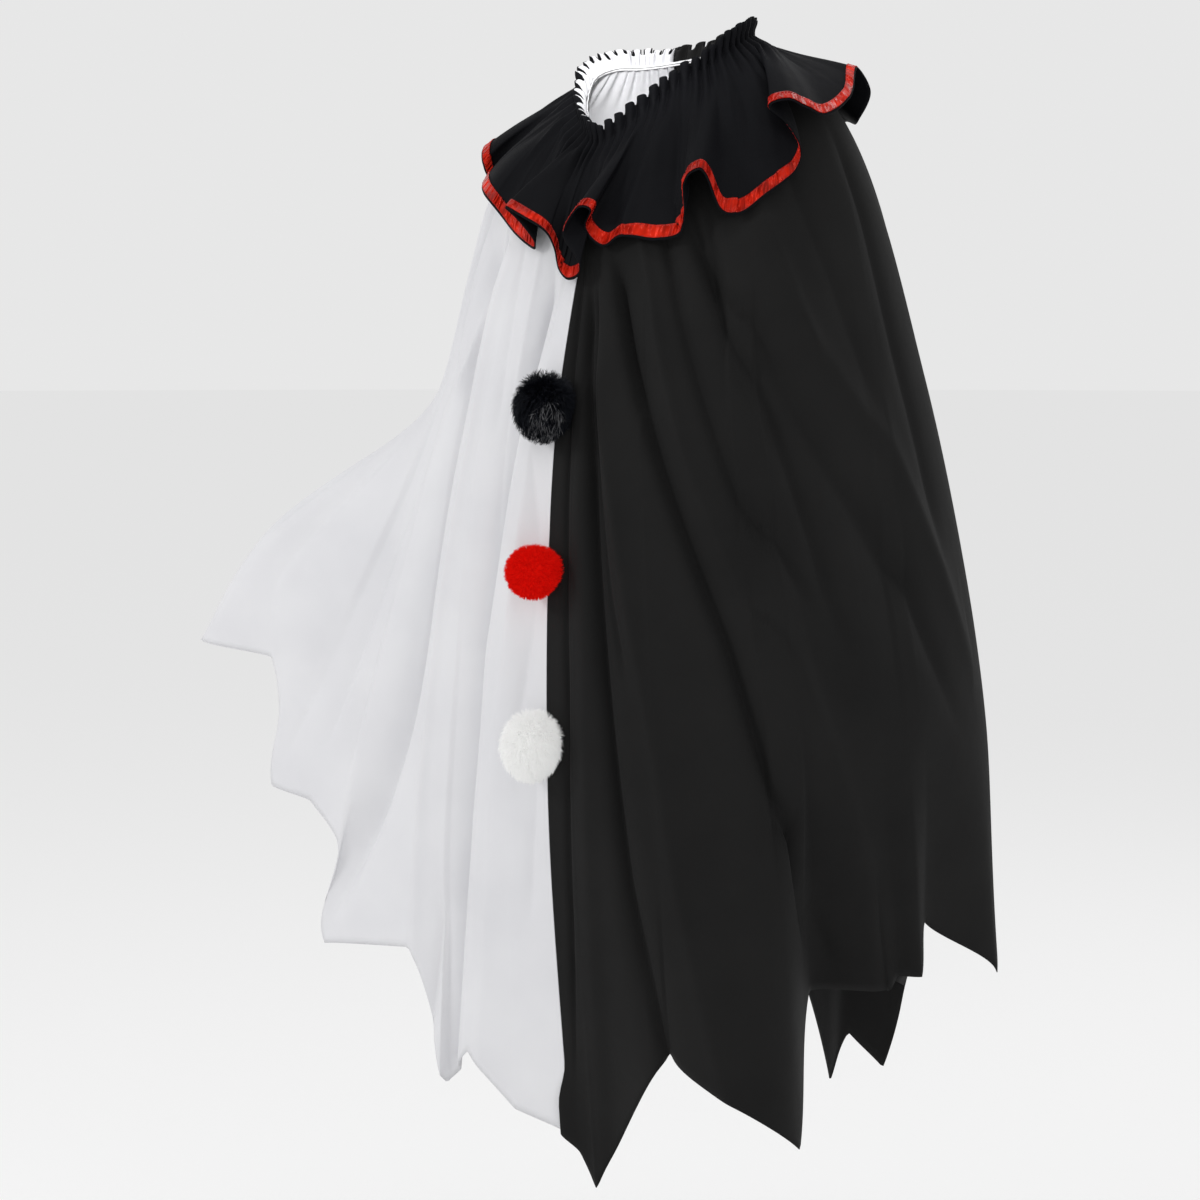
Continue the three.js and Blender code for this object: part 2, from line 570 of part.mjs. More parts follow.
// Pompoms: a ball of locks, whose back lies on the cloth of the front seam.
function pompomGeometry({ down, back, core, lock, tall }, number) {
  const out = outward(smoothCape, 0, down);
  const seat = foldedCape(0, down);
  const side = new THREE.Vector3(1, 0, 0);
  const up = out.clone().cross(side).normalize();
  const turnPerMm = 2 / foldedCape(1, down).distanceTo(foldedCape(-1, down));
  const sink = core * POMPOM_SINK;
  const place = (v, radius) => {
    const x = v.x * radius;
    const z = v.z * radius * tall;
    const depth = Math.max(-v.y * radius + sink, 0);
    const flat = seat.clone().addScaledVector(side, x).addScaledVector(up, z);
    const lying = foldedCape(x * turnPerMm, down - z);
    return lying.lerp(flat, smooth(depth, 0, core)).addScaledVector(out, back + depth);
  };
  const ball = new THREE.IcosahedronGeometry(1, POMPOM_LOCKS_DETAIL).getAttribute("position");
  const corners = [];
  for (let n = 0; n < ball.count; n += 3) {
    const [a, b, c] = [0, 1, 2].map((k) => new THREE.Vector3().fromBufferAttribute(ball, n + k));
    const tip = a.clone().add(b).add(c).normalize();
    const uneven = (1 + Math.sin(n * LOCK_PHASE + number)) / 2;
    const length = core + lock * THREE.MathUtils.lerp(LOCK_SHORTEST, 1, uneven);
    const [pa, pb, pc] = [a, b, c].map((v) => place(v, core));
    const pressed = tip.y * length > sink * POMPOM_PRESSED;
    const pt = place(tip, length);
    const faces = pressed ? [pa, pb, pc] : [pa, pb, pt, pb, pc, pt, pc, pa, pt];
    for (const p of faces) corners.push(p.x, p.y, p.z);
  }
  return new THREE.BufferGeometry().setAttribute("position", new THREE.Float32BufferAttribute(corners, 3));
}

addPiece("neck_elastic", elasticGeometry(), 0xf0f0f0, 0.6);
POMPOMS.forEach((pompom, number) => {
  addPiece(pompom.name, pompomGeometry(pompom, number), pompom.color, 1);
});

export default cape;
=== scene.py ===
import math
import random

import bmesh
import bpy
import numpy as np
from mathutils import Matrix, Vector


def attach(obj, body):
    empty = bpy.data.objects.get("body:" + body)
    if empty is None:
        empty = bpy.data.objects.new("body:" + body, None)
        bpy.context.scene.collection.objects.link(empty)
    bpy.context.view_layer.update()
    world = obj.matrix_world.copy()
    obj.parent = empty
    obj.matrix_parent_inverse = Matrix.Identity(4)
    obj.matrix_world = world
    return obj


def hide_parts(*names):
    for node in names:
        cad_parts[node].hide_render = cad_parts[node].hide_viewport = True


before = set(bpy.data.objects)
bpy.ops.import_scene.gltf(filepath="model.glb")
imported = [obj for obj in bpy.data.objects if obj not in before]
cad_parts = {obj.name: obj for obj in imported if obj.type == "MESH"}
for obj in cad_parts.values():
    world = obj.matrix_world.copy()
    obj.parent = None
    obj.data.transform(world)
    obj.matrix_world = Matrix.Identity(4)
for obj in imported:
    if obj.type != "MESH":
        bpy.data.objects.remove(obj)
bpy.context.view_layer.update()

MM = 0.001
TURN = 360.0

# Cloth, in millimetres
CAPE_THICK = 0.9
RUFFLE_THICK = 0.8
RIBBON_THICK = 0.5
SEAM_GAP = 0.3

# The frill above the gather line. Its waves stand closer at the front, on the wearer's left, than elsewhere
FRILL_HEIGHT = 19.0
FRILL_FLARE = 5.0  # how far the top leans out
FRILL_WAVES = 54
FRILL_WANDER = 0.7  # how unevenly the waves are spaced
FRILL_CLOSEST = 60.0  # the turn at which they stand closest
FRILL_CLOSER = 16.0  # how many more waves a full turn would have, spaced as they are there
FRILL_WAVE = 4.6  # how far a wave stands out at the top
FRILL_UNEVEN = 0.25  # how unevenly
FRILL_LARGER = 0.3  # how much larger the widest waves are
FRILL_OPENS = 0.7  # how soon a wave grows on the way up
FRILL_FAT = 1.0  # flattens the waves, so that they are fat loops
FRILL_ROUND = 0.3  # how much the top edge draws in again
FRILL_EDGE = 0.75  # the share of the height at which that starts
FRILL_CURL = 0.85  # how far a loop swells sideways
FRILL_LOOPS = 0.6  # how much more the widest loops swell
FRILL_SCALLOP = 0.34  # how much lower the top is between the loops
TOP_UNEVEN = 0.08  # how uneven the top edge is besides
TOP_WAVES = (5, 13, 29)
TOP_STARTS = 0.3  # the share of the height at which both start
FRILL_LAYER = 1.3  # the ruffle's own frill stands this far outside the cape's
FRILL_SETTLES = 0.4  # the share of the height in which it gets there
ALONG_TURN = 0.1  # the step over which a loop's direction is measured

# The gathers below the line, and the ruffle on them
GATHER_WAVE = 2.3
GATHER_FADE = 62.0
GATHER_LEVEL = 25.0
LAYER_STEP = 3.4
LAYER_FADE = 30.0
NEAR_NECK = 8.0

# Ruffle and ribbon
RUFFLE_CLEAR = 7.0
DRAW_START = 0.18
DRAW_CURVE = 1.15
CREASE_COMES = (0.1, 0.3)
CREASE_DIES = 0.3
CREASE_DEEPER = 1.25
RIBBON_WIDTH = 12.0
RIBBON_INSET = 1.5
RUFFLE_WIDTH = 150.0

# Folds and pleats. They come and die away in these shares of the way down
FOLD_COMES = 0.25
FOLD_DIES = 0.3
PLEAT_COMES = 0.08
PLEAT_DIES = 0.2
PLEAT_ROUND = 0.35  # how round its top is
PLEAT_NARROW = 0.6  # its width at the upper end, as a share of the one in the table
PLEAT_WIDENS = 0.6  # what that share gains down to the lower end

# Seeds of the slow, uneven values round the neck
SPACING_SEED = 3
SIZE_SEED = 5
TOP_SEED = 8
PUCKER_SEED = 21

# The line that the elastic gathers: turn from the front seam towards the wearer's left, x, y, z
NECK = [
    (0, 0, -78, -69), (27, 55, -71, -28), (52, 95, -53, 2), (75, 112, -29, 25), (100, 112, 2, 34),
    (130, 84, 33, 28), (158, 38, 51, 18), (180, -2, 54, 13), (210, -34, 46, 10), (240, -53, 22, 8),
    (270, -57, -14, -4), (300, -47, -47, -32), (332, -25, -71, -60),
]

# Sections of the cape: turn, then x, y, z at the shoulder, at the elbow's height and at the hip
SECTIONS = [
    (0, 0, -125, -160, 0, -182, -360, 0, -197, -690),
    (20, 52, -122, -148, 72, -188, -358, 92, -212, -690),
    (45, 120, -100, -112, 158, -162, -340, 203, -166, -690),
    (70, 174, -52, -62, 228, -95, -310, 278, -92, -665),
    (90, 199, 2, -42, 271, -10, -300, 322, -8, -645),
    (110, 193, 50, -50, 273, 80, -305, 331, 100, -645),
    (130, 152, 90, -68, 224, 140, -325, 280, 168, -665),
    (155, 82, 118, -80, 112, 172, -345, 140, 205, -700),
    (180, 0, 122, -88, 0, 170, -350, 0, 205, -700),
    (205, -72, 112, -96, -112, 158, -350, -150, 188, -700),
    (228, -122, 82, -98, -188, 128, -342, -250, 130, -665),
    (245, -142, 46, -98, -228, 90, -330, -340, 38, -592),
    (256, -152, 18, -96, -246, 60, -316, -388, -40, -522),
    (268, -154, -12, -98, -248, 26, -308, -408, -104, -476),
    (281, -146, -45, -106, -236, -22, -318, -370, -120, -518),
    (294, -135, -68, -115, -212, -68, -334, -298, -130, -588),
    (308, -116, -88, -126, -184, -104, -346, -244, -140, -635),
    (325, -84, -108, -142, -130, -142, -356, -166, -162, -685),
    (342, -42, -122, -154, -68, -170, -360, -92, -182, -690),
]

# Points and notches of the dagged hem: turn, x, y, z
HEM = [
    (0, 0, -156, -1044), (7, 28, -150, -1096), (27, 126, -190, -947), (50, 231, -110, -1042),
    (58, 206, -42, -900), (70, 279, -12, -900), (76, 285, -5, -884), (83, 308, 2, -884),
    (88, 302, 22, -833), (104, 341, 110, -895), (113, 316, 122, -795), (122, 262, 162, -862),
    (133, 212, 184, -846), (146, 176, 188, -1025), (153, 144, 196, -991), (161, 113, 201, -1048),
    (171, 56, 210, -925), (180, 0, 213, -985), (190, -52, 210, -1035), (202, -118, 200, -925),
    (214, -188, 182, -985), (226, -240, 148, -850), (238, -305, 96, -872), (249, -345, 30, -715),
    (258, -388, -25, -690), (264, -408, -72, -590), (270, -462, -125, -577), (281, -373, -130, -593),
    (286, -361, -134, -641), (293, -367, -140, -725), (300, -316, -145, -736), (306, -279, -150, -774),
    (316, -295, -150, -882), (325, -179, -165, -872), (334, -146, -165, -1010), (342, -109, -170, -970),
    (351, -58, -164, -1024),
]

# Large folds at the sides and the back: turn near the neck, at the middle and at the hem, start and end
# as shares of the way down, width in degrees, depth in mm (a negative depth is a valley)
FOLDS = [
    (5, 11, 9, 0.14, 1, 2.6, 3), (78, 84, 94, 0.3, 1, 9, -3), (118, 120, 122, 0.15, 1, 7, -16),
    (134, 138, 140, 0.15, 1, 6, 12), (150, 153, 155, 0.15, 1, 6, -16), (168, 168, 170, 0.15, 1, 6, 12),
    (192, 194, 196, 0.15, 1, 7, -16), (208, 213, 214, 0.15, 1, 6, 12), (222, 228, 230, 0.15, 1, 6, -15),
    (236, 240, 242, 0.2, 1, 5, 9), (346, 350, 352, 0.12, 0.9, 4, 4),
]

# Sharper pleats: start and end as shares of the way down, turn at the start, the quarters and the end,
# width towards the lower turn, width towards the higher turn, depth, all three in mm
PLEATS = [
    # the black half's front
    (0.10, 0.97, 1.2, 4.5, 5.5, 4.5, 2.0, 3, 4, -5.5),
    (0.12, 1.00, 4.0, 11.7, 15.6, 19.7, 26.5, 7, 12, -15),
    (0.12, 0.62, 7.0, 11.0, 14.5, 18.3, 23.0, 4, 4, -6),
    (0.20, 1.00, 10.0, 19.0, 25.0, 30.0, 37.0, 15, 15, 7),
    (0.12, 0.97, 13.0, 26.7, 43.4, 54.0, 58.0, 6, 14, -16),
    (0.20, 0.90, 24.0, 38.0, 54.0, 66.0, 72.0, 15, 15, 6),
    (0.10, 0.62, 27.0, 36.0, 46.0, 56.0, 69.0, 6, 9, -9.5),
    (0.10, 0.66, 33.0, 49.0, 60.0, 67.0, 73.0, 6, 9, -9),
    (0.10, 0.24, 42.0, 44.5, 46.0, 47.0, 48.5, 4, 4, -6),
    (0.14, 0.78, 40.0, 59.0, 73.0, 87.0, 100.0, 17, 12, -10),
    (0.14, 0.74, 52.0, 68.0, 84.0, 97.0, 108.0, 16, 16, 6),
    (0.10, 0.36, 10.0, 15.0, 20.0, 24.0, 28.0, 4, 4, -4),
    (0.10, 0.42, 20.0, 26.0, 31.0, 36.0, 41.0, 5, 5, 4.5),
    (0.10, 0.45, 36.0, 44.0, 51.0, 57.0, 62.0, 5, 5, -4.8),
    (0.10, 0.38, 54.0, 60.0, 66.0, 71.0, 75.0, 7, 7, 3.5),
    (0.10, 0.45, 66.0, 72.0, 78.0, 83.0, 87.0, 8, 8, -4),
    (0.86, 1.00, 73.5, 72.0, 71.0, 70.0, 69.0, 5, 5, -5),
    (0.86, 0.985, 21.0, 22.4, 23.2, 24.1, 25.0, 5, 5, 3),
    (0.86, 0.97, 56.0, 57.5, 59.5, 61.0, 62.5, 6, 6, -3.5),
    (0.50, 0.95, 60.0, 63.0, 67.0, 72.0, 78.0, 26, 22, -5),
    # the white half's front
    (0.12, 0.99, 320.0, 321.0, 318.5, 317.0, 316.0, 44, 8, -25),
    (0.15, 1.00, 328.0, 330.0, 326.5, 325.5, 325.0, 15, 20, 7),
    (0.12, 1.00, 350.0, 346.4, 341.0, 339.5, 337.0, 20, 5, -18),
    (0.20, 1.00, 355.0, 352.0, 348.0, 346.0, 344.0, 10, 20, 4),
    (0.10, 0.38, 321.0, 318.5, 317.0, 315.0, 312.0, 6, 6, 7),
    (0.12, 0.42, 285.0, 292.0, 295.0, 300.0, 309.0, 9, 9, -8),
    (0.10, 0.30, 354.0, 351.0, 349.5, 348.5, 348.0, 4, 9, -6),
    (0.10, 0.24, 357.0, 355.5, 354.0, 353.0, 351.5, 3, 3, -2.5),
    (0.30, 0.42, 352.0, 353.5, 355.0, 356.3, 358.0, 5, 5, -3),
    (0.46, 0.60, 357.5, 356.5, 355.0, 354.0, 352.5, 5, 5, -3.5),
    (0.62, 0.80, 358.0, 357.0, 356.0, 355.5, 354.5, 5, 5, -3.5),
    (0.78, 1.00, 334.0, 333.0, 332.0, 331.0, 330.0, 20, 14, -7),
    (0.30, 0.95, 305.0, 300.0, 296.0, 293.0, 291.0, 30, 30, -6),
    (0.10, 0.34, 332.0, 335.0, 337.0, 338.0, 339.0, 5, 5, -3),
    (0.10, 0.30, 341.0, 342.0, 342.5, 343.0, 343.0, 4, 4, 2.5),
    # the sides and the back
    (0.12, 0.60, 86.0, 91.0, 94.0, 97.0, 99.0, 8, 8, -5),
    (0.12, 0.70, 104.0, 108.0, 111.0, 114.0, 116.0, 7, 7, -4.5),
    (0.12, 0.80, 127.0, 130.0, 131.0, 133.0, 134.0, 8, 6, -6),
    (0.12, 0.60, 143.0, 145.0, 146.0, 147.0, 148.0, 6, 6, 4),
    (0.12, 0.85, 160.0, 161.0, 161.0, 162.0, 163.0, 7, 7, -6),
    (0.12, 0.60, 175.0, 176.0, 177.0, 177.0, 178.0, 5, 5, -4),
    (0.12, 0.75, 184.0, 186.0, 187.0, 188.0, 189.0, 6, 6, 5),
    (0.12, 0.85, 201.0, 203.0, 205.0, 206.0, 207.0, 7, 7, -6),
    (0.12, 0.60, 216.0, 219.0, 221.0, 223.0, 224.0, 6, 6, -4),
    (0.12, 0.70, 231.0, 235.0, 237.0, 239.0, 240.0, 8, 8, -5.5),
    (0.14, 0.55, 247.0, 250.0, 251.0, 252.0, 252.0, 8, 8, 4),
    (0.16, 0.70, 261.0, 263.0, 264.0, 264.0, 264.0, 10, 10, -4.5),
    (0.14, 0.50, 275.0, 278.0, 280.0, 281.0, 282.0, 8, 8, 4),
]

# The ruffle's edge: turn at the neck, turn of the cape that it hangs over, reach down, distance off it
EDGE = [
    (0.5, 4.2, 152.5, 14), (3, 5, 146, 20), (5.5, 1.5, 130, 24), (8, -2, 116, 30), (13, 6, 100, 42), (17, 10, 106, 36),
    (21, 4, 108, 18), (25, 11, 134, 10), (29, 18, 138, 14), (34, 30, 160, 10), (40, 39, 160, 14),
    (43.5, 40.5, 132, 34), (48.5, 44.5, 123, 42), (53, 47, 131, 38), (57, 49.5, 160, 17), (61, 54, 170, 10),
    (67, 62, 164, 10), (73, 71, 154, 12), (77, 73, 138, 16), (81, 70, 112, 26), (85, 66, 96, 42),
    (89, 70, 99, 48), (94, 74, 112, 46), (100, 80, 123, 36), (105, 89, 118, 32), (110, 98, 104, 34),
    (114, 103, 98, 42), (119, 106, 118, 38), (125, 112, 132, 16), (136, 134, 126, 40), (147, 148, 148, 10),
    (158, 156, 132, 38), (169, 171, 150, 10), (180, 178, 134, 36), (191, 193, 150, 10), (202, 200, 132, 38),
    (213, 214, 150, 10), (224, 221, 130, 40), (235, 237, 148, 10), (246, 244, 126, 34), (256, 258, 132, 24),
    (266, 270, 124, 36), (275, 277, 128, 28), (283, 275, 146, 11), (290, 289, 130, 14), (298, 311, 120, 24),
    (305, 322, 122, 12), (313, 336.5, 128, 8), (318, 341.5, 128, 9), (322, 342, 121, 17), (326, 338, 112, 32),
    (330, 334, 108, 44), (338, 347, 110, 30),
    (346, 352, 124, 18), (352, 354.5, 143, 11), (356.5, 359, 153, 10),
]

# Creases that run down the ruffle from the neck: turn, how far down as a share, width, depth in mm
RUFFLE_CREASES = [
    (3, 0.6, 1.6, 1.8), (11, 0.75, 1.5, -2.0), (19, 0.6, 1.4, 1.8), (23, 0.8, 1.5, -1.8), (31, 0.7, 1.6, 2.0),
    (37, 0.85, 1.5, -2.2), (42, 0.6, 1.4, 1.6), (47, 0.8, 1.5, -2.0), (55, 0.85, 1.6, -2.2), (59, 0.6, 1.5, 1.8),
    (64, 0.7, 1.6, -2.0), (70, 0.6, 1.6, 1.8), (79, 0.7, 1.6, -1.8), (92, 0.6, 1.6, 1.6), (103, 0.7, 1.8, -2.0),
    (117, 0.6, 1.8, 1.8), (129, 0.7, 2.0, -2.0), (141, 0.6, 1.8, 1.8), (152, 0.7, 1.8, -2.0), (163, 0.6, 1.8, 1.8),
    (174, 0.7, 1.8, -2.0), (186, 0.6, 1.8, 1.8), (197, 0.7, 1.8, -2.0), (208, 0.6, 1.8, 1.8), (219, 0.7, 1.8, -2.0),
    (230, 0.6, 1.8, 1.8), (241, 0.7, 1.8, -2.0), (251, 0.6, 1.8, 1.8), (262, 0.7, 1.8, -2.0), (271, 0.6, 1.6, 1.8),
    (279, 0.75, 1.5, -2.0), (287, 0.6, 1.5, 1.6), (294, 0.7, 1.5, -1.8), (302, 0.75, 1.6, 1.8), (310, 0.7, 1.5, -2.0),
    (320, 0.6, 1.5, 1.8), (327, 0.75, 1.5, -1.8), (334, 0.6, 1.5, 1.8), (341, 0.7, 1.5, -2.0), (350, 0.75, 1.6, 1.6),
]


# Surfaces
def smoothstep(x, low, high):
    t = np.clip((np.asarray(x, float) - low) / (high - low), 0, 1)
    return t * t * (3 - 2 * t)


def unit(v):
    return v / np.maximum(np.linalg.norm(v, axis=-1, keepdims=True), 1e-9)


def signed_turn(turn):
    """The same turn, from -180 to 180."""
    return np.mod(turn + TURN / 2, TURN) - TURN / 2


def four_rows(table, turn):
    """The four rows about each turn of a closed table, their turns, and the share of the way between the middle two."""
    rows = np.array(table, float)
    turn = np.mod(np.asarray(turn, float), TURN)
    first = np.searchsorted(rows[:, 0], turn, side="right") - 1
    lap, at = np.divmod(first[..., None] + np.arange(-1, 3), len(rows))
    turns = rows[at, 0] + TURN * lap
    return rows[at], turns, (turn - turns[..., 1]) / (turns[..., 2] - turns[..., 1])


def smooth_rows(table, turn, values=lambda rows: rows[..., 1:]):
    """Smooth values round a closed table, through every row."""
    rows, t, share = four_rows(table, turn)
    v = values(rows)
    t, share = t[..., None], share[..., None]

    def slope(k):
        before, after = t[..., k, :] - t[..., k - 1, :], t[..., k + 1, :] - t[..., k, :]
        rise = (v[..., k, :] - v[..., k - 1, :]) / before * after
        fall = (v[..., k + 1, :] - v[..., k, :]) / after * before
        return (rise + fall) / (before + after)

    step = t[..., 2, :] - t[..., 1, :]
    s2, s3 = share**2, share**3
    return (
        (2 * s3 - 3 * s2 + 1) * v[..., 1, :]
        + (s3 - 2 * s2 + share) * slope(1) * step
        + (3 * s2 - 2 * s3) * v[..., 2, :]
        + (s3 - s2) * slope(2) * step
    )


def straight_rows(table, turn, column):
    rows, _, share = four_rows(table, turn)
    return rows[..., 1, column] * (1 - share) + rows[..., 2, column] * share


def neck_point(turn):
    return smooth_rows(NECK, turn)


def neck_out(turn):
    along = neck_point(turn + 1) - neck_point(turn - 1)
    return unit(np.stack([along[..., 1], -along[..., 0], np.zeros(along.shape[:-1])], -1))


# The cape as a close net of points: one column each half degree, rows at equal shares of the way down
NET_TURN = 0.5
NET_ROWS = 320
NET_STEPS = 24
net_turns = np.arange(0, TURN, NET_TURN)
net_shares = np.linspace(0, 1, NET_ROWS + 1)


def section_lines(turns):
    """Points and lengths of the sections, from the gather line to the hem, each an even curve through its stations."""
    stations = smooth_rows(SECTIONS, turns).reshape(len(turns), 3, 3)
    hem = smooth_rows(HEM, turns)
    hem[:, 2] = straight_rows(HEM, turns, 3)
    points = np.concatenate([neck_point(turns)[:, None], stations, hem[:, None]], 1)
    first = 2 * points[:, :1] - points[:, 1:2]
    last = 2 * points[:, -1:] - points[:, -2:-1]
    points = np.concatenate([first, points, last], 1)
    gaps = np.linalg.norm(np.diff(points, axis=1), axis=2) ** 0.5
    t = np.linspace(0, 1, NET_STEPS + 1)[None, :, None]
    pieces = []
    for k in range(4):
        p0, p1, p2, p3 = (points[:, k + n, None] for n in range(4))
        d0, d1, d2 = (gaps[:, k + n, None, None] for n in range(3))
        t1 = ((p1 - p0) / d0 - (p2 - p0) / (d0 + d1) + (p2 - p1) / d1) * d1
        t2 = ((p2 - p1) / d1 - (p3 - p1) / (d1 + d2) + (p3 - p2) / d2) * d1
        line = p1 + t1 * t + (3 * (p2 - p1) - 2 * t1 - t2) * t**2 + (2 * (p1 - p2) + t1 + t2) * t**3
        pieces.append(line if k == 3 else line[:, :-1])
    line = np.concatenate(pieces, 1)
    run = np.concatenate([np.zeros((len(turns), 1)), np.linalg.norm(np.diff(line, axis=1), axis=2).cumsum(1)], 1)
    even = np.stack([
        np.stack([np.interp(net_shares * r[-1], r, one[:, axis]) for axis in range(3)], -1)
        for r, one in zip(run, line)
    ])
    return even, run[:, -1]


def net_normals(net):
    side = np.roll(net, -1, 0) - np.roll(net, 1, 0)
    fall = np.gradient(net, axis=1)
    return unit(np.cross(fall, side))


def fold_height(turn, share):
    height = np.zeros(np.broadcast(turn, share).shape)
    for top, middle, hem, start, end, width, depth in FOLDS:
        path = np.where(share < 0.5, top + (middle - top) * share * 2, middle + (hem - middle) * (share * 2 - 1))
        along = smoothstep(share, start, start + FOLD_COMES)
        if end < 1:
            along = along * (1 - smoothstep(share, end - FOLD_DIES, end))
        height += depth * along * np.exp(-((signed_turn(turn - path) / width) ** 2))
    return height


def pleat_height(turn, share, spread):
    """Pleats with a crisp line and softer sides, wider towards the hem. spread is the cloth's mm to a degree."""
    height = np.zeros(spread.shape)
    for start, end, *turns, lower, higher, depth in PLEATS:
        way = np.clip((share - start) / (end - start), 0, 1)
        off = signed_turn(turn - np.interp(way, np.linspace(0, 1, len(turns)), turns)) * spread
        near = off / (np.where(off < 0, lower, higher) * (PLEAT_NARROW + PLEAT_WIDENS * way))
        crisp = np.exp(PLEAT_ROUND - np.sqrt(near**2 + PLEAT_ROUND**2))
        along = smoothstep(share, start, start + PLEAT_COMES)
        if end < 1:
            along = along * (1 - smoothstep(share, end - PLEAT_DIES * (end - start), end))
        height += depth * along * crisp
    return height


smooth_net, net_lengths = section_lines(net_turns)
smooth_normals = net_normals(smooth_net)
net_spread = np.linalg.norm(np.roll(smooth_net, -1, 0) - np.roll(smooth_net, 1, 0), axis=-1) / (2 * NET_TURN)
large_folds = fold_height(net_turns[:, None], net_shares[None])
pleats = pleat_height(net_turns[:, None], net_shares[None], net_spread)
folded_net = smooth_net + smooth_normals * (large_folds + pleats)[..., None]
under_ruffle = smooth_net + smooth_normals * large_folds[..., None]
under_normals = net_normals(under_ruffle)
folded_normals = net_normals(folded_net)


def cape_length(turn):
    return np.interp(np.mod(turn, TURN), np.append(net_turns, TURN), np.append(net_lengths, net_lengths[0]))


def on_net(net, turn, down):
    """The value of a net at each turn and distance down."""
    turn, down = np.broadcast_arrays(np.asarray(turn, float), np.asarray(down, float))
    column = np.mod(turn, TURN) / NET_TURN
    row = np.clip(down / cape_length(turn), 0, 1) * NET_ROWS
    i, j = np.floor(column).astype(int), np.minimum(np.floor(row).astype(int), NET_ROWS - 1)
    u, v = (column - i)[..., None], (row - j)[..., None]
    near, far = i % len(net_turns), (i + 1) % len(net_turns)
    upper = net[near, j] * (1 - u) + net[far, j] * u
    lower = net[near, j + 1] * (1 - u) + net[far, j + 1] * u
    return upper * (1 - v) + lower * v


def cloth_out(turn, down):
    return unit(on_net(folded_normals, turn, np.maximum(down, NEAR_NECK)))


def wander(turn, seed, waves=(3, 7, 11, 17)):
    """A slow, uneven value round the neck, from about -1 to 1."""
    maker = random.Random(seed)
    total = np.zeros(np.shape(turn))
    for n in waves:
        total = total + math.sqrt(1 / len(waves)) * np.sin(np.radians(np.asarray(turn) * n) + maker.uniform(0, 6.28))
    return total


def frill_close(turn):
    """1 where the frill's waves stand closest, at the front on the wearer's left, and -1 where they stand widest."""
    return np.cos(np.radians(turn - FRILL_CLOSEST))


def gather_phase(turn):
    closer = FRILL_CLOSER * np.sin(np.radians(turn - FRILL_CLOSEST))
    return np.radians(turn) * FRILL_WAVES + closer + FRILL_WANDER * wander(turn, SPACING_SEED)


def gather(turn, down):
    """How far the gathers stand out, in the frill and below it."""
    rise = np.clip(-down / FRILL_HEIGHT, 0, 1)
    uneven = 1 + FRILL_UNEVEN * wander(turn, SIZE_SEED)
    wave = np.cos(gather_phase(turn))
    fat = np.tanh(FRILL_FAT * wave) / math.tanh(FRILL_FAT)
    wave = np.where(down < 0, wave + (fat - wave) * rise, wave)
    grown = GATHER_WAVE + (FRILL_WAVE - GATHER_WAVE) * rise**FRILL_OPENS
    drawn_in = 1 - FRILL_ROUND * smoothstep(rise, FRILL_EDGE, 1)
    standing = grown * drawn_in * (1 - FRILL_LARGER * rise * frill_close(turn))
    size = np.where(down < 0, standing, GATHER_WAVE * (1 - smoothstep(down, 0, GATHER_FADE)))
    return size * uneven * wave


def gather_way(turn, down):
    turned = smoothstep(down, 0, GATHER_LEVEL)[..., None]
    return unit(neck_out(turn) * (1 - turned) + cloth_out(turn, down) * turned)


def frill_point(turn, down):
    """The frill above the gather line: waves that curl over into loops towards the top."""
    rise = np.clip(-down / FRILL_HEIGHT, 0, 1)
    out = neck_out(turn)
    side = np.stack([-out[..., 1], out[..., 0], np.zeros(out.shape[:-1])], -1)
    lean = gather(turn, down) + FRILL_FLARE * rise
    curl = FRILL_CURL * (1 - FRILL_LOOPS * frill_close(turn)) * rise * np.sin(2 * gather_phase(turn))
    between = 0.5 - 0.5 * np.cos(gather_phase(turn))
    top = 1 + TOP_UNEVEN * wander(turn, TOP_SEED, TOP_WAVES) - FRILL_SCALLOP * between**2
    point = neck_point(turn) + out * lean[..., None] + side * curl[..., None]
    point[..., 2] += FRILL_HEIGHT * rise * (1 + (top - 1) * smoothstep(rise, TOP_STARTS, 1))
    return point


def cape_point(turn, down):
    turn, down = np.broadcast_arrays(np.asarray(turn, float), np.asarray(down, float))
    hanging = on_net(folded_net, turn, down) + gather_way(turn, down) * gather(turn, down)[..., None]
    return np.where((down < 0)[..., None], frill_point(turn, down), hanging)


def layer_step(turn):
    """The step from the cape to the ruffle where both are gathered."""
    out, faces = neck_out(turn), cloth_out(turn, np.full(np.shape(turn), NEAR_NECK))
    across = out * (faces * out).sum(-1, keepdims=True)
    across[..., 2] = faces[..., 2]
    across = unit(across)
    return (out + across) * (LAYER_STEP / (1 + (out * across).sum(-1, keepdims=True)))


def outer_frill(turn, down):
    """The ruffle's own frill, just outside the cape's: a step at the gather line, then even along the loops."""
    point = frill_point(turn, down)
    along = frill_point(turn + ALONG_TURN, down) - frill_point(turn - ALONG_TURN, down)
    away = unit(np.stack([along[..., 1], -along[..., 0], np.zeros(along.shape[:-1])], -1)) * FRILL_LAYER
    loops = smoothstep(-down / FRILL_HEIGHT, 0.0, FRILL_SETTLES)[..., None]
    return point + layer_step(turn) * (1 - loops) + away * loops


def lying_ruffle(turn, down):
    """The ruffle as it would lie on the cape."""
    near = (1 - smoothstep(down, 0, LAYER_FADE))[..., None]
    return (
        on_net(under_ruffle, turn, down)
        + cloth_out(turn, down) * RUFFLE_CLEAR * (1 - near)
        + layer_step(turn) * near
        + gather_way(turn, down) * gather(turn, down)[..., None]
    )


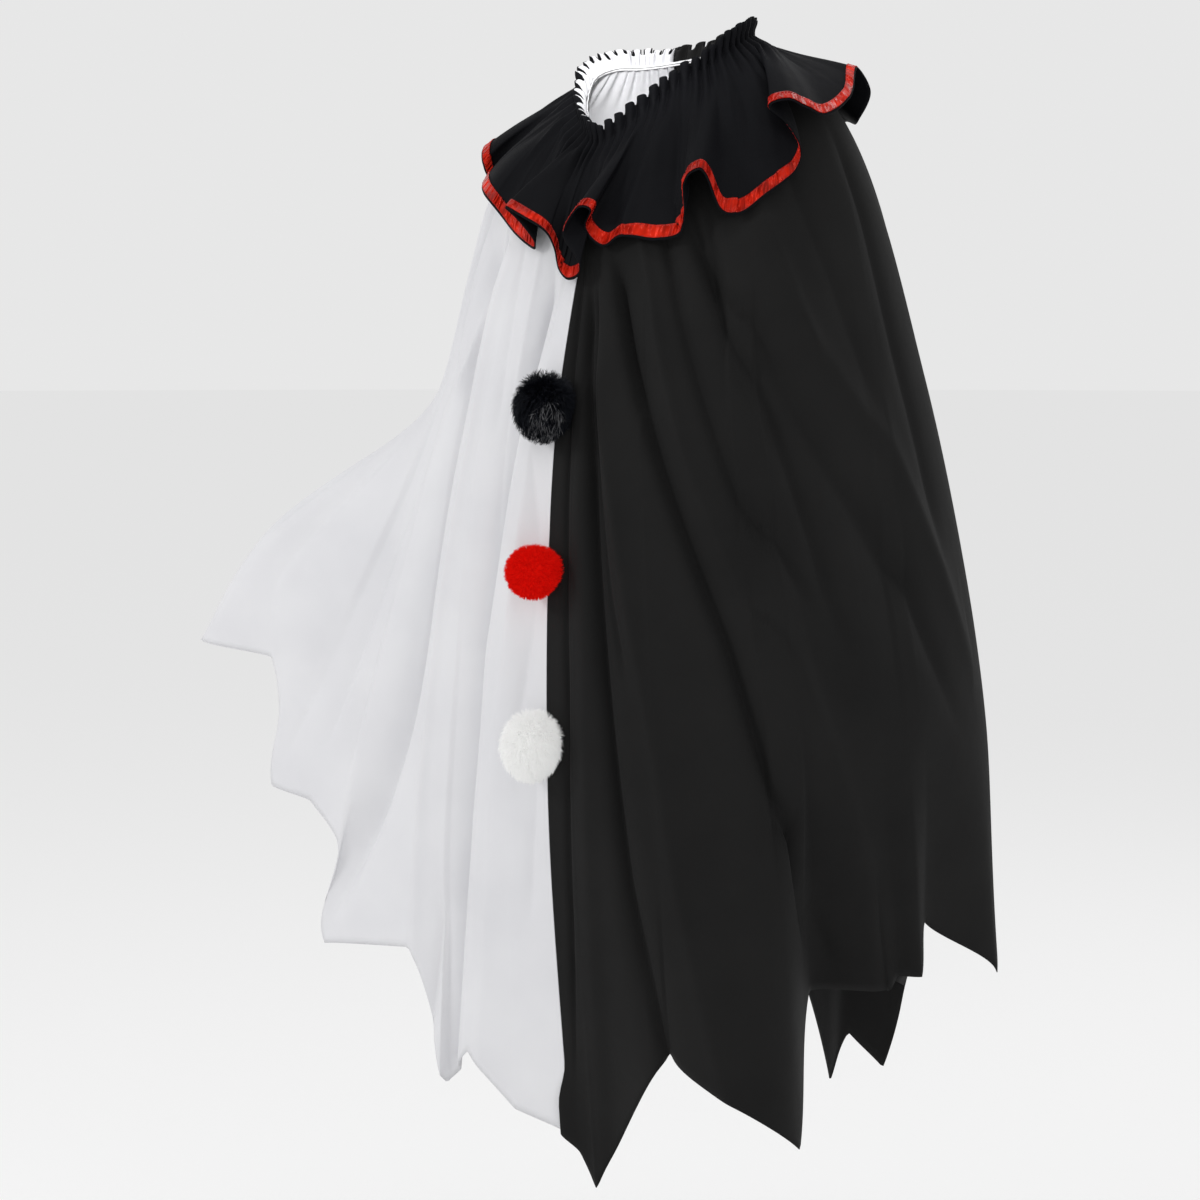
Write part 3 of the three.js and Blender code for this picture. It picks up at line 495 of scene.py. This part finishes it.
def ruffle_draw(turn):
    """How far the ruffle reaches, and how its edge is drawn away from where it would lie."""
    over_by, reach, out = np.moveaxis(
        smooth_rows(EDGE, turn, lambda r: np.stack([r[..., 1] - r[..., 0], r[..., 2], r[..., 3]], -1)), -1, 0
    )
    over = turn + over_by
    edge = on_net(under_ruffle, over, reach) + unit(on_net(under_normals, over, reach)) * out[..., None]
    return reach, edge - lying_ruffle(turn, reach)


def ruffle_point(turn, share):
    turn, share = np.broadcast_arrays(np.asarray(turn, float), np.asarray(share, float))
    reach, draw = ruffle_draw(turn)
    drawn = np.clip((share - DRAW_START) / (1 - DRAW_START), 0, 1) ** DRAW_CURVE
    down = reach * np.clip(share, 0, 1)
    fine = np.zeros(turn.shape)
    for at, end, width, depth in RUFFLE_CREASES:
        ends = smoothstep(share, *CREASE_COMES) * (1 - smoothstep(share, end - CREASE_DIES, end))
        near = signed_turn(turn - at) / width
        fine += CREASE_DEEPER * depth * ends * np.exp(PLEAT_ROUND - np.sqrt(near**2 + PLEAT_ROUND**2))
    hanging = lying_ruffle(turn, down) + draw * drawn[..., None] + cloth_out(turn, down) * fine[..., None]
    standing = outer_frill(turn, share * FRILL_HEIGHT)
    return np.where((share < 0)[..., None], standing, hanging)


# Making pieces
def link_piece(name, mesh, material):
    piece = bpy.data.objects.new(name, mesh)
    bpy.context.scene.collection.objects.link(piece)
    mesh.materials.append(material)
    mesh.shade_smooth()
    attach(piece, "root")
    return piece


def lay_sheet(name, grid, place, flat_mm, thick, material, closed=False):
    """A sheet from a grid. place turns shares across and down into points in mm. Its UV map is in mm."""
    bm = bmesh.new()
    weave = bm.loops.layers.uv.new("weave")
    bmesh.ops.create_grid(bm, x_segments=grid[0], y_segments=grid[1], size=0.5, calc_uvs=True)
    share = np.array([v.co[:2] for v in bm.verts]) + 0.5
    share[:, 1] = 1 - share[:, 1]
    points = place(share[:, 0], share[:, 1]) * MM
    for vertex, point in zip(bm.verts, points):
        vertex.co = point
    for face in bm.faces:
        for loop in face.loops:
            across, down = share[loop.vert.index]
            loop[weave].uv = (across * flat_mm[0], down * flat_mm[1])
    if closed:
        ends = [v for v in bm.verts if share[v.index, 0] in (0.0, 1.0)]
        bmesh.ops.remove_doubles(bm, verts=ends, dist=1e-6)
    mesh = bpy.data.meshes.new(name)
    bm.to_mesh(mesh)
    bm.free()
    piece = link_piece(name, mesh, material)
    wall = piece.modifiers.new("thickness", "SOLIDIFY")
    wall.thickness = thick * MM
    wall.offset = 0
    wall.use_even_offset = False
    return piece


def strands(name, lines, widths, material, sides=0):
    """Many thin tapered strands as one mesh. Each line is a row of points in mm."""
    curve = bpy.data.curves.new(name, "CURVE")
    curve.dimensions = "3D"
    curve.bevel_depth = 1.0
    curve.bevel_resolution = sides
    curve.use_fill_caps = True
    for line, width in zip(lines, widths):
        spline = curve.splines.new("POLY")
        spline.points.add(len(line) - 1)
        spline.points.foreach_set("co", np.c_[np.array(line) * MM, np.ones(len(line))].ravel())
        spline.points.foreach_set("radius", np.array(width) * MM)
    holder = bpy.data.objects.new(name, curve)
    bpy.context.scene.collection.objects.link(holder)
    bpy.context.view_layer.update()
    mesh = bpy.data.meshes.new_from_object(holder.evaluated_get(bpy.context.evaluated_depsgraph_get()))
    bpy.data.objects.remove(holder)
    bpy.data.curves.remove(curve)
    mesh.materials.clear()
    mesh.name = name
    return link_piece(name, mesh, material)


# Materials
BAND_SCALE = 0.314  # a wave texture of this scale has a band for each mm of a UV map in mm
SATIN_THREAD = 0.3


def new_material(name, color, roughness, sheen=0.0, sheen_tint=(1, 1, 1), specular=0.5, shine=(1, 1, 1), ior=1.5):
    material = bpy.data.materials.new(name)
    material.use_nodes = True
    nodes, links = material.node_tree.nodes, material.node_tree.links
    shader = nodes["Principled BSDF"]
    shader.inputs["Base Color"].default_value = (*color, 1)
    shader.inputs["Roughness"].default_value = roughness
    shader.inputs["Sheen Weight"].default_value = sheen
    shader.inputs["Sheen Roughness"].default_value = 0.5
    shader.inputs["Sheen Tint"].default_value = (*sheen_tint, 1)
    shader.inputs["Specular IOR Level"].default_value = specular
    shader.inputs["Specular Tint"].default_value = (*shine, 1)
    shader.inputs["IOR"].default_value = ior
    return material, nodes, links, shader


def mottle(nodes, links, shader, source, scale, dark, light, detail=3.0):
    """Soft changes of shade between two colours."""
    noise = nodes.new("ShaderNodeTexNoise")
    noise.inputs["Scale"].default_value = scale
    noise.inputs["Detail"].default_value = detail
    links.new(source, noise.inputs["Vector"])
    ramp = nodes.new("ShaderNodeValToRGB")
    ramp.color_ramp.elements[0].position, ramp.color_ramp.elements[1].position = 0.3, 0.7
    ramp.color_ramp.elements[0].color = (*dark, 1)
    ramp.color_ramp.elements[1].color = (*light, 1)
    links.new(noise.outputs["Fac"], ramp.inputs["Fac"])
    links.new(ramp.outputs["Color"], shader.inputs["Base Color"])
    return noise


def add_bump(nodes, links, height, shader, strength, distance, before=None):
    bump = nodes.new("ShaderNodeBump")
    bump.inputs["Strength"].default_value = strength
    bump.inputs["Distance"].default_value = distance
    links.new(height, bump.inputs["Height"])
    if before:
        links.new(before.outputs["Normal"], bump.inputs["Normal"])
    links.new(bump.outputs["Normal"], shader.inputs["Normal"])
    return bump


def let_through(nodes, links, shader, color, part):
    """Lets a part of the light pass to the other side."""
    passing = nodes.new("ShaderNodeBsdfTranslucent")
    passing.inputs["Color"].default_value = (*color, 1)
    both = nodes.new("ShaderNodeMixShader")
    both.inputs["Fac"].default_value = part
    links.new(shader.outputs["BSDF"], both.inputs[1])
    links.new(passing.outputs["BSDF"], both.inputs[2])
    links.new(both.outputs["Shader"], nodes["Material Output"].inputs["Surface"])


def woven(name, dark, light, roughness, sheen, sheen_tint, thread=0.5, rumple=0.5, specular=0.3, ior=1.5, sheer=0.0):
    """Plain woven cloth: crossing threads on the sheet's own UV map, in mm, and soft rumples."""
    material, nodes, links, shader = new_material(name, light, roughness, sheen, sheen_tint, specular, ior=ior)
    weave = nodes.new("ShaderNodeUVMap")
    weave.uv_map = "weave"
    place = nodes.new("ShaderNodeTexCoord").outputs["Object"]
    mottle(nodes, links, shader, place, 9.0, dark, light)
    threads = []
    for direction in ("X", "Y"):
        wave = nodes.new("ShaderNodeTexWave")
        wave.bands_direction = direction
        wave.inputs["Scale"].default_value = BAND_SCALE / thread
        wave.inputs["Distortion"].default_value = 0.4
        links.new(weave.outputs["UV"], wave.inputs["Vector"])
        threads.append(wave.outputs["Fac"])
    cloth = nodes.new("ShaderNodeMath")
    cloth.operation = "MULTIPLY"
    links.new(threads[0], cloth.inputs[0])
    links.new(threads[1], cloth.inputs[1])
    fine = add_bump(nodes, links, cloth.outputs[0], shader, 0.35, 0.00012)
    soft = nodes.new("ShaderNodeTexNoise")
    soft.inputs["Scale"].default_value = 38.0
    soft.inputs["Detail"].default_value = 4.0
    links.new(place, soft.inputs["Vector"])
    add_bump(nodes, links, soft.outputs["Fac"], shader, rumple, 0.0016, fine)
    if sheer:
        let_through(nodes, links, shader, light, sheer)
    return material


def satin(name):
    """Glossy red satin: fine threads along the ribbon, small puckers across it, and painted highlights and shade in its
    colour.
    """
    material, nodes, links, shader = new_material(name, (0.6, 0.012, 0.005), 0.27, specular=0.9, shine=(1, 0.1, 0.05))
    weave = nodes.new("ShaderNodeUVMap")
    weave.uv_map = "weave"
    place = nodes.new("ShaderNodeTexCoord").outputs["Object"]
    # Painted highlights and painted shade: the base colour goes from dark red to light red in patches, as the satin's
    # sheen and puckers show it
    mottle(nodes, links, shader, place, 45.0, (0.17, 0.0015, 0.001), (0.72, 0.02, 0.007), 2.0)
    shader.inputs["Anisotropic"].default_value = 0.6
    # Puckers about 10 mm long, drawn out across the ribbon
    across = nodes.new("ShaderNodeMapping")
    across.inputs["Scale"].default_value = (0.1, 0.03, 1)
    links.new(weave.outputs["UV"], across.inputs["Vector"])
    pucker = nodes.new("ShaderNodeTexNoise")
    pucker.inputs["Scale"].default_value = 1.0
    pucker.inputs["Detail"].default_value = 2.0
    links.new(across.outputs["Vector"], pucker.inputs["Vector"])
    puckers = add_bump(nodes, links, pucker.outputs["Fac"], shader, 1.0, 0.024)
    thread = nodes.new("ShaderNodeTexWave")
    thread.bands_direction = "Y"
    thread.inputs["Scale"].default_value = BAND_SCALE / SATIN_THREAD
    links.new(weave.outputs["UV"], thread.inputs["Vector"])
    add_bump(nodes, links, thread.outputs["Fac"], shader, 0.2, 0.00006, puckers)
    return material


def fur(name, dark, light, roughness, shine, specular=0.3, through=0.35, glow=0.0):
    """Hair of slightly different shades that lets light through. glow stands for light scattered between the hairs."""
    material, nodes, links, shader = new_material(name, light, roughness, specular=specular, shine=shine)
    place = nodes.new("ShaderNodeTexCoord").outputs["Object"]
    noise = mottle(nodes, links, shader, place, 260.0, dark, light, 2.0)
    add_bump(nodes, links, noise.outputs["Fac"], shader, 0.2, 0.0005)
    shader.inputs["Emission Color"].default_value = (*light, 1)
    shader.inputs["Emission Strength"].default_value = glow
    let_through(nodes, links, shader, light, through)
    return material


black_cloth = woven(
    "black_cloth", (0.0066, 0.0065, 0.0065), (0.0096, 0.0094, 0.0093), roughness=0.82, sheen=0.045,
    sheen_tint=(0.5, 0.5, 0.5), specular=0.15,
)
white_cloth = woven(
    "white_cloth", (0.75, 0.75, 0.775), (0.81, 0.81, 0.83), roughness=0.75, sheen=0.12,
    sheen_tint=(1, 1, 1), rumple=0.35, sheer=0.12,
)
ruffle_cloth = woven(
    "ruffle_cloth", (0.0032, 0.0033, 0.0043), (0.006, 0.0062, 0.0077), roughness=0.66, sheen=0.01,
    sheen_tint=(0.45, 0.45, 0.5), specular=0.5, ior=1.15,
)
red_satin = satin("red_satin")
elastic_band = woven(
    "elastic_band", (0.78, 0.78, 0.79), (0.86, 0.86, 0.87), roughness=0.6, sheen=0.1,
    sheen_tint=(1, 1, 1), thread=1.2,
)
black_fur = fur(
    "black_fur", (0.0015, 0.0017, 0.003), (0.005, 0.0056, 0.009), roughness=0.32, shine=(0.8, 0.88, 1),
    specular=0.2, through=0.05,
)
red_fur = fur(
    "red_fur", (0.6, 0.004, 0.002), (0.86, 0.012, 0.006), roughness=0.7, shine=(1, 0.2, 0.1),
    specular=0.15, through=0.3, glow=0.17,
)
white_fur = fur(
    "white_fur", (0.9, 0.9, 0.9), (0.965, 0.965, 0.96), roughness=0.5, shine=(1, 1, 1),
    specular=0.3, through=0.45, glow=0.17,
)
grey_hair = fur(
    "grey_hair", (0.1, 0.1, 0.11), (0.3, 0.3, 0.31), roughness=0.4, shine=(1, 1, 1), specular=0.4, through=0.2
)
grey_thread, *_ = new_material("grey_thread", (0.035, 0.035, 0.037), 0.8)
red_thread, *_ = new_material("red_thread", (0.4, 0.01, 0.006), 0.5)


# The cape's two halves
HALF_GRID = (330, 132)
HALF_FLAT = (1000.0, 1100.0)
FRILL_SHARE = 0.08  # the share of the rows that the frill takes
ROWS_CROWD = 1.15
COLUMNS_CROWD = 1.2

# Each edge stays this far off its seam, in degrees, at the neck and from SEAM_WIDENS mm down
SEAM_AT_NECK = 0.14
SEAM_AT_HEM = 0.05
SEAM_WIDENS = 400.0

# The black half's front edge turns over the white one just above the hem
CURL_OVER = 9.0
CURL_FROM = (0.925, 0.97)
CURL_TURN = 2.6
CURL_WAY = np.array([-0.8, -0.6, 0.0])


def cape_half(name, start, material):
    """One half, from the frill's top to the hem. Its columns stand closer towards the front seam."""

    def place(across, down_share):
        across = across**COLUMNS_CROWD if start == 0 else 1 - (1 - across) ** COLUMNS_CROWD
        turn = start + across * TURN / 2
        rise = down_share / FRILL_SHARE - 1
        fall = np.clip((down_share - FRILL_SHARE) / (1 - FRILL_SHARE), 0, 1) ** ROWS_CROWD
        down = np.where(rise < 0, rise * FRILL_HEIGHT, fall * cape_length(turn))
        inset = SEAM_AT_NECK + (SEAM_AT_HEM - SEAM_AT_NECK) * smoothstep(down, 0, SEAM_WIDENS)
        turn = np.clip(turn, start + inset, start + TURN / 2 - inset)
        point = cape_point(turn, down)
        if start == 0:
            curl = CURL_OVER * smoothstep(down / cape_length(turn), *CURL_FROM) * (1 - smoothstep(turn, 0, CURL_TURN))
            point = point + curl[..., None] * CURL_WAY
        return point

    return lay_sheet(name, HALF_GRID, place, HALF_FLAT, CAPE_THICK, material)


left_half = cape_half("left_half", 0, black_cloth)
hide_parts("cape_left_black")
right_half = cape_half("right_half", 180, white_cloth)
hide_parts("cape_right_white")


# The ruffle and its ribbon
RUFFLE_GRID = (860, 42)
RUFFLE_FLAT = (1560.0, 170.0)
HEADER_SHARE = 0.16  # the share of the rows that the ruffle's own frill takes


def ruffle_place(across, down):
    header = down / HEADER_SHARE - 1
    hanging = (down - HEADER_SHARE) / (1 - HEADER_SHARE)
    return ruffle_point(across * TURN, np.where(down < HEADER_SHARE, header, hanging))


ruffle = lay_sheet(
    "ruffle_cloth", RUFFLE_GRID, ruffle_place, RUFFLE_FLAT, RUFFLE_THICK, ruffle_cloth, closed=True
)
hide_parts("ruffle")

RIBBON_GRID = (1080, 6)
RIBBON_TOP = 1 - (RIBBON_INSET + RIBBON_WIDTH) / RUFFLE_WIDTH
RIBBON_FOOT = 1 - RIBBON_INSET / RUFFLE_WIDTH
RIBBON_LOWEST = 0.985
RIBBON_LIFT = 0.2
PUCKER = 0.18
PUCKER_WAVES = (61, 97, 143)

# The steps over which the ruffle's outward direction is measured
OUT_SHARE = 0.01
OUT_TURN = 0.2


def ruffle_out(turn, share):
    fall = ruffle_point(turn, share + OUT_SHARE) - ruffle_point(turn, share - OUT_SHARE)
    side = ruffle_point(turn + OUT_TURN, share) - ruffle_point(turn - OUT_TURN, share)
    return unit(np.cross(fall, side))


def ribbon_point(across, down):
    turn = across * TURN
    share = np.minimum(RIBBON_TOP + (RIBBON_FOOT - RIBBON_TOP) * down, RIBBON_LOWEST)
    pucker = PUCKER * wander(turn, PUCKER_SEED, PUCKER_WAVES) * np.sin(np.pi * down)
    lift = RUFFLE_THICK / 2 + SEAM_GAP + RIBBON_THICK / 2 + RIBBON_LIFT + pucker
    return ruffle_point(turn, share) + ruffle_out(turn, share) * lift[..., None]


ribbon = lay_sheet(
    "satin_ribbon", RIBBON_GRID, ribbon_point, (RUFFLE_FLAT[0], RIBBON_WIDTH), RIBBON_THICK,
    red_satin, closed=True,
)
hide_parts("ribbon")


# Stitches
STITCH_DIPS = 0.1
STITCH_STANDS = 1.1  # in radii of the thread
RIBBON_FACE = 0.95  # where on the ruffle the stitches take their outward direction


def stitch_row(name, place, out, count, long_share, radius, material):
    """A row of short stitches that dip into the cloth at both ends."""
    ends = np.array([0.5 - long_share / 2, 0.5, 0.5 + long_share / 2])
    t = (np.arange(count)[:, None] + ends) / count
    lift = np.array([-STITCH_DIPS, radius * STITCH_STANDS, -STITCH_DIPS])[:, None]
    return strands(name, place(t) + out(t) * lift, [[radius] * 3] * count, material, sides=1)


def ribbon_out(t):
    return ruffle_out(t * TURN, RIBBON_FACE)


def ribbon_seam(down):
    return lambda t: ribbon_point(t, np.full(t.shape, down)) + ribbon_out(t) * (RIBBON_THICK / 2)


for seam_name, seam_down in (("upper_ribbon_stitches", 0.1), ("lower_ribbon_stitches", 0.9)):
    stitch_row(
        seam_name, ribbon_seam(seam_down), ribbon_out, count=520, long_share=0.62, radius=0.2,
        material=red_thread,
    )


# The neck elastic
ELASTIC_GRID = (432, 5)
ELASTIC_LENGTH = 560.0
ELASTIC_WIDTH = 4.0
ELASTIC_THICK = 1.0
ELASTIC_CLEAR = 0.6
ELASTIC_WAVE = 0.25
ELASTIC_IN = GATHER_WAVE + ELASTIC_CLEAR + SEAM_GAP + ELASTIC_THICK / 2


def elastic_point(across, down):
    turn = across * TURN
    inwards = ELASTIC_IN + ELASTIC_WAVE * np.cos(gather_phase(turn))
    point = neck_point(turn) - neck_out(turn) * inwards[..., None]
    point[..., 2] += ELASTIC_WIDTH * (0.5 - down)
    return point


elastic = lay_sheet(
    "elastic_band", ELASTIC_GRID, elastic_point, (ELASTIC_LENGTH, ELASTIC_WIDTH), ELASTIC_THICK,
    elastic_band, closed=True,
)
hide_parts("neck_elastic")
stitch_row(
    "elastic_stitches",
    lambda t: elastic_point(t, np.full(t.shape, 0.5)) - neck_out(t * TURN) * (ELASTIC_THICK / 2),
    lambda t: -neck_out(t * TURN), count=230, long_share=0.9, radius=0.36, material=grey_thread,
)


# Pompoms
POMPOM_SINK = 0.85  # how far its middle stands off the cloth, in radii of its core
POMPOM_CUT = 1.02
POMPOM_LIFT = 0.6  # the same for all of it, in mm
POMPOM_UNDER = 0.12  # how far the heart reaches past the hairs' roots, in radii
TUFTS = 140
TUFT_STRAYS = 0.5
HAIR_STRAYS = 0.6
HAIR_SPREAD = 0.05
SHORTEST_LOCK = 0.35
HAIR_TAPER = np.array([1.0, 0.95, 0.7, 0.12])
FIRST_SEED = 40

# The black pompom has some grey hairs low on one side
GREY_WAY = np.array([0.6, 0.55, -0.58])
GREY_NEAR = 0.72
GREY_SHARE = 0.3

# In mm, down: along the seam, back: off the cloth, core: the radius under the locks, lock: the longest
# lock, thick: a hair's radius at its root. tall: height over width. count: hairs. bend: how far a hair lies
# over. root: where on the way out it starts. combed and stray: how much it is combed down and how it strays
POMPOMS = [
    dict(
        name="black", material=black_fur, down=281, back=0.2, core=24.0, lock=7.0, tall=1.23,
        count=4500, bend=0.95, root=0.62, thick=0.3, combed=0.75, stray=0.5,
    ),
    dict(
        name="red", material=red_fur, down=437, back=0.9, core=23.0, lock=4.5, tall=1.03,
        count=5000, bend=0.3, root=0.78, thick=0.33, combed=0.1, stray=0.5,
    ),
    dict(
        name="white", material=white_fur, down=603, back=0.9, core=24.0, lock=7.0, tall=1.24,
        count=4700, bend=0.85, root=0.66, thick=0.34, combed=0.6, stray=0.5,
    ),
]


def pompom_seat(down, back, core):
    """Places points given about a pompom's middle (across, outward, up) on the cape, pressed where they meet it."""
    out = unit(on_net(smooth_normals, 0.0, down))
    side = np.array([1.0, 0.0, 0.0])
    up = unit(np.cross(out, side))
    seat = on_net(folded_net, 0.0, down)
    turn_per_mm = 2 / np.linalg.norm(on_net(folded_net, 1.0, down) - on_net(folded_net, -1.0, down))

    def place(v):
        depth = np.maximum(v[..., 1] + core * POMPOM_SINK, 0)
        flat = seat + side * v[..., :1] + up * v[..., 2:]
        lying = on_net(folded_net, v[..., 0] * turn_per_mm, down - v[..., 2])
        away = smoothstep(depth, 0, core)[..., None]
        return lying * (1 - away) + flat * away + out * (CAPE_THICK + POMPOM_LIFT + back + depth)[..., None]

    return place


def add_hairs(piece_name, lines, thick, material, name):
    piece = strands(piece_name, lines, [HAIR_TAPER * thick] * len(lines), material)
    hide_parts(f"pompom_{name}")


def add_heart(name, place, core, share, tall, material):
    """The close-packed middle of a pompom, under its hairs."""
    ball = bmesh.new()
    bmesh.ops.create_icosphere(ball, subdivisions=4, radius=1.0)
    middle = np.array([v.co for v in ball.verts]) * core * share
    middle[:, 2] *= tall
    for vertex, point in zip(ball.verts, place(middle) * MM):
        vertex.co = point
    mesh = bpy.data.meshes.new(f"pompom_{name}_core")
    ball.to_mesh(mesh)
    ball.free()
    heart = link_piece(f"pompom_{name}_core", mesh, material)
    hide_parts(f"pompom_{name}")


def pompom(name, material, down, back, core, lock, tall, count, bend, root, thick, combed, stray, seed):
    maker = np.random.default_rng(seed)
    place = pompom_seat(down, back, core)

    # The hairs start evenly over a small core. Those that point straight into the cloth are left out
    k = np.arange(count) + 0.5
    polar = np.arccos(1 - 2 * k / count)
    round_it = np.pi * (1 + 5**0.5) * k
    way = np.stack([np.cos(polar), np.sin(polar) * np.cos(round_it), np.sin(polar) * np.sin(round_it)], -1)
    way = unit(way + maker.normal(0, HAIR_SPREAD, way.shape))
    way = way[way[:, 1] * core > -core * POMPOM_SINK * POMPOM_CUT]

    # They bend a little downwards and with their neighbours
    tuft = unit(maker.normal(0, 1, (TUFTS, 3)))
    near = np.argmax(way @ tuft.T, 1)
    swirl = stray * (maker.normal(0, TUFT_STRAYS, (TUFTS, 3))[near] + maker.normal(0, HAIR_STRAYS, way.shape))
    swirl[:, 2] -= combed
    swirl = swirl - way * (swirl * way).sum(1, keepdims=True)
    length = core + lock * maker.uniform(SHORTEST_LOCK, 1.0, len(way))
    steps = np.array([root, (root + 1) / 2, 0.5 + root / 2 + (1 - root) * 0.3, 1.0])
    bow = ((steps - root) / (1 - root)) ** 2 * bend * (1 - root)
    lines = []
    for w, s, reach in zip(way, swirl, length):
        line = w * steps[:, None] + s * bow[:, None]
        line *= (reach * steps / np.linalg.norm(line, axis=1))[:, None]
        line[:, 2] *= tall
        lines.append(line)
    lines = place(np.array(lines))

    grey = (way @ GREY_WAY > GREY_NEAR) & (maker.uniform(0, 1, len(way)) < GREY_SHARE) & (name == "black")
    add_hairs(f"pompom_{name}_fur", lines[~grey], thick, material, name)
    if grey.any():
        add_hairs(f"pompom_{name}_grey_hairs", lines[grey], thick, grey_hair, name)
    add_heart(name, place, core, root + POMPOM_UNDER, tall, material)


for number, row in enumerate(POMPOMS):
    pompom(**row, seed=FIRST_SEED + number)


# Floor, light and camera, in metres
FLOOR = -1.4
FLOOR_RADIUS = 40
ROOM_LIGHT = 0.8
MIDDLE = (0, 0, -0.5)

# name, place, width, watts, what it points at
SOFT_LIGHTS = [
    ("key", (-2.3, -3.0, 1.3), 0.8, 38, MIDDLE),
    ("side", (3.0, -1.6, 0.6), 1.4, 8, MIDDLE),
    ("back", (0.6, 3.2, 1.8), 1.6, 12, MIDDLE),
    ("above", (0.2, -0.3, 0.75), 0.25, 1.2, (0, 0.02, -0.03)),
]

# The camera stands 30 degrees round to the wearer's left and 5 degrees above level. It points at a place
# this far across and up from the middle of the neck
CAMERA_TURN = math.radians(30)
CAMERA_RISE = math.radians(5)
CAMERA_AWAY = 3.5
CAMERA_ACROSS = -0.048
CAMERA_UP = -0.525


def make_floor():
    floor = bmesh.new()
    bmesh.ops.create_circle(floor, cap_ends=True, segments=96, radius=FLOOR_RADIUS)
    bmesh.ops.translate(floor, verts=floor.verts, vec=(0, 0, FLOOR))
    mesh = bpy.data.meshes.new("floor")
    floor.to_mesh(mesh)
    floor.free()
    ground = bpy.data.objects.new("floor", mesh)
    bpy.context.scene.collection.objects.link(ground)
    pale, *_ = new_material("pale_floor", (0.96, 0.96, 0.96), 1.0, specular=0.0)
    mesh.materials.append(pale)


def light_room():
    world = bpy.data.worlds.new("studio")
    world.use_nodes = True
    world.node_tree.nodes["Background"].inputs["Color"].default_value = (1, 1, 1, 1)
    world.node_tree.nodes["Background"].inputs["Strength"].default_value = ROOM_LIGHT
    bpy.context.scene.world = world


def hang_lamp(name, lamp, place, aim):
    holder = bpy.data.objects.new(name, lamp)
    holder.location = place
    holder.rotation_euler = (Vector(aim) - Vector(place)).to_track_quat("-Z", "Y").to_euler()
    bpy.context.scene.collection.objects.link(holder)


def soft_light(name, place, width, watts, aim):
    lamp = bpy.data.lights.new(name, "AREA")
    lamp.shape = "DISK"
    lamp.size = width
    lamp.energy = watts
    hang_lamp(name, lamp, place, aim)


def narrow_light(name, place, width, watts, aim, spread):
    lamp = bpy.data.lights.new(name, "SPOT")
    lamp.energy = watts
    lamp.spot_size = math.radians(spread)
    lamp.spot_blend = 1.0
    lamp.shadow_soft_size = width
    hang_lamp(name, lamp, place, aim)


def make_camera():
    right = Vector((math.cos(CAMERA_TURN), math.sin(CAMERA_TURN), 0))
    back = Vector((
        math.sin(CAMERA_TURN) * math.cos(CAMERA_RISE),
        -math.cos(CAMERA_TURN) * math.cos(CAMERA_RISE),
        math.sin(CAMERA_RISE),
    ))
    upward = back.cross(right)
    aim = right * CAMERA_ACROSS + upward * CAMERA_UP
    lens = bpy.data.cameras.new("camera")
    lens.sensor_width = 36
    lens.lens = 105
    lens.clip_end = 200
    camera = bpy.data.objects.new("camera", lens)
    camera.location = aim + back * CAMERA_AWAY
    camera.rotation_mode = "QUATERNION"
    camera.rotation_quaternion = (-back).to_track_quat("-Z", "Y")
    bpy.context.scene.collection.objects.link(camera)
    bpy.context.scene.camera = camera


make_floor()
light_room()
bpy.context.scene.view_settings.view_transform = "Standard"
for lamp_row in SOFT_LIGHTS:
    soft_light(*lamp_row)
narrow_light("into_the_neck", (0.95, -1.66, 0.27), 0.05, 260, (-0.055, 0.05, -0.012), spread=5)
make_camera()
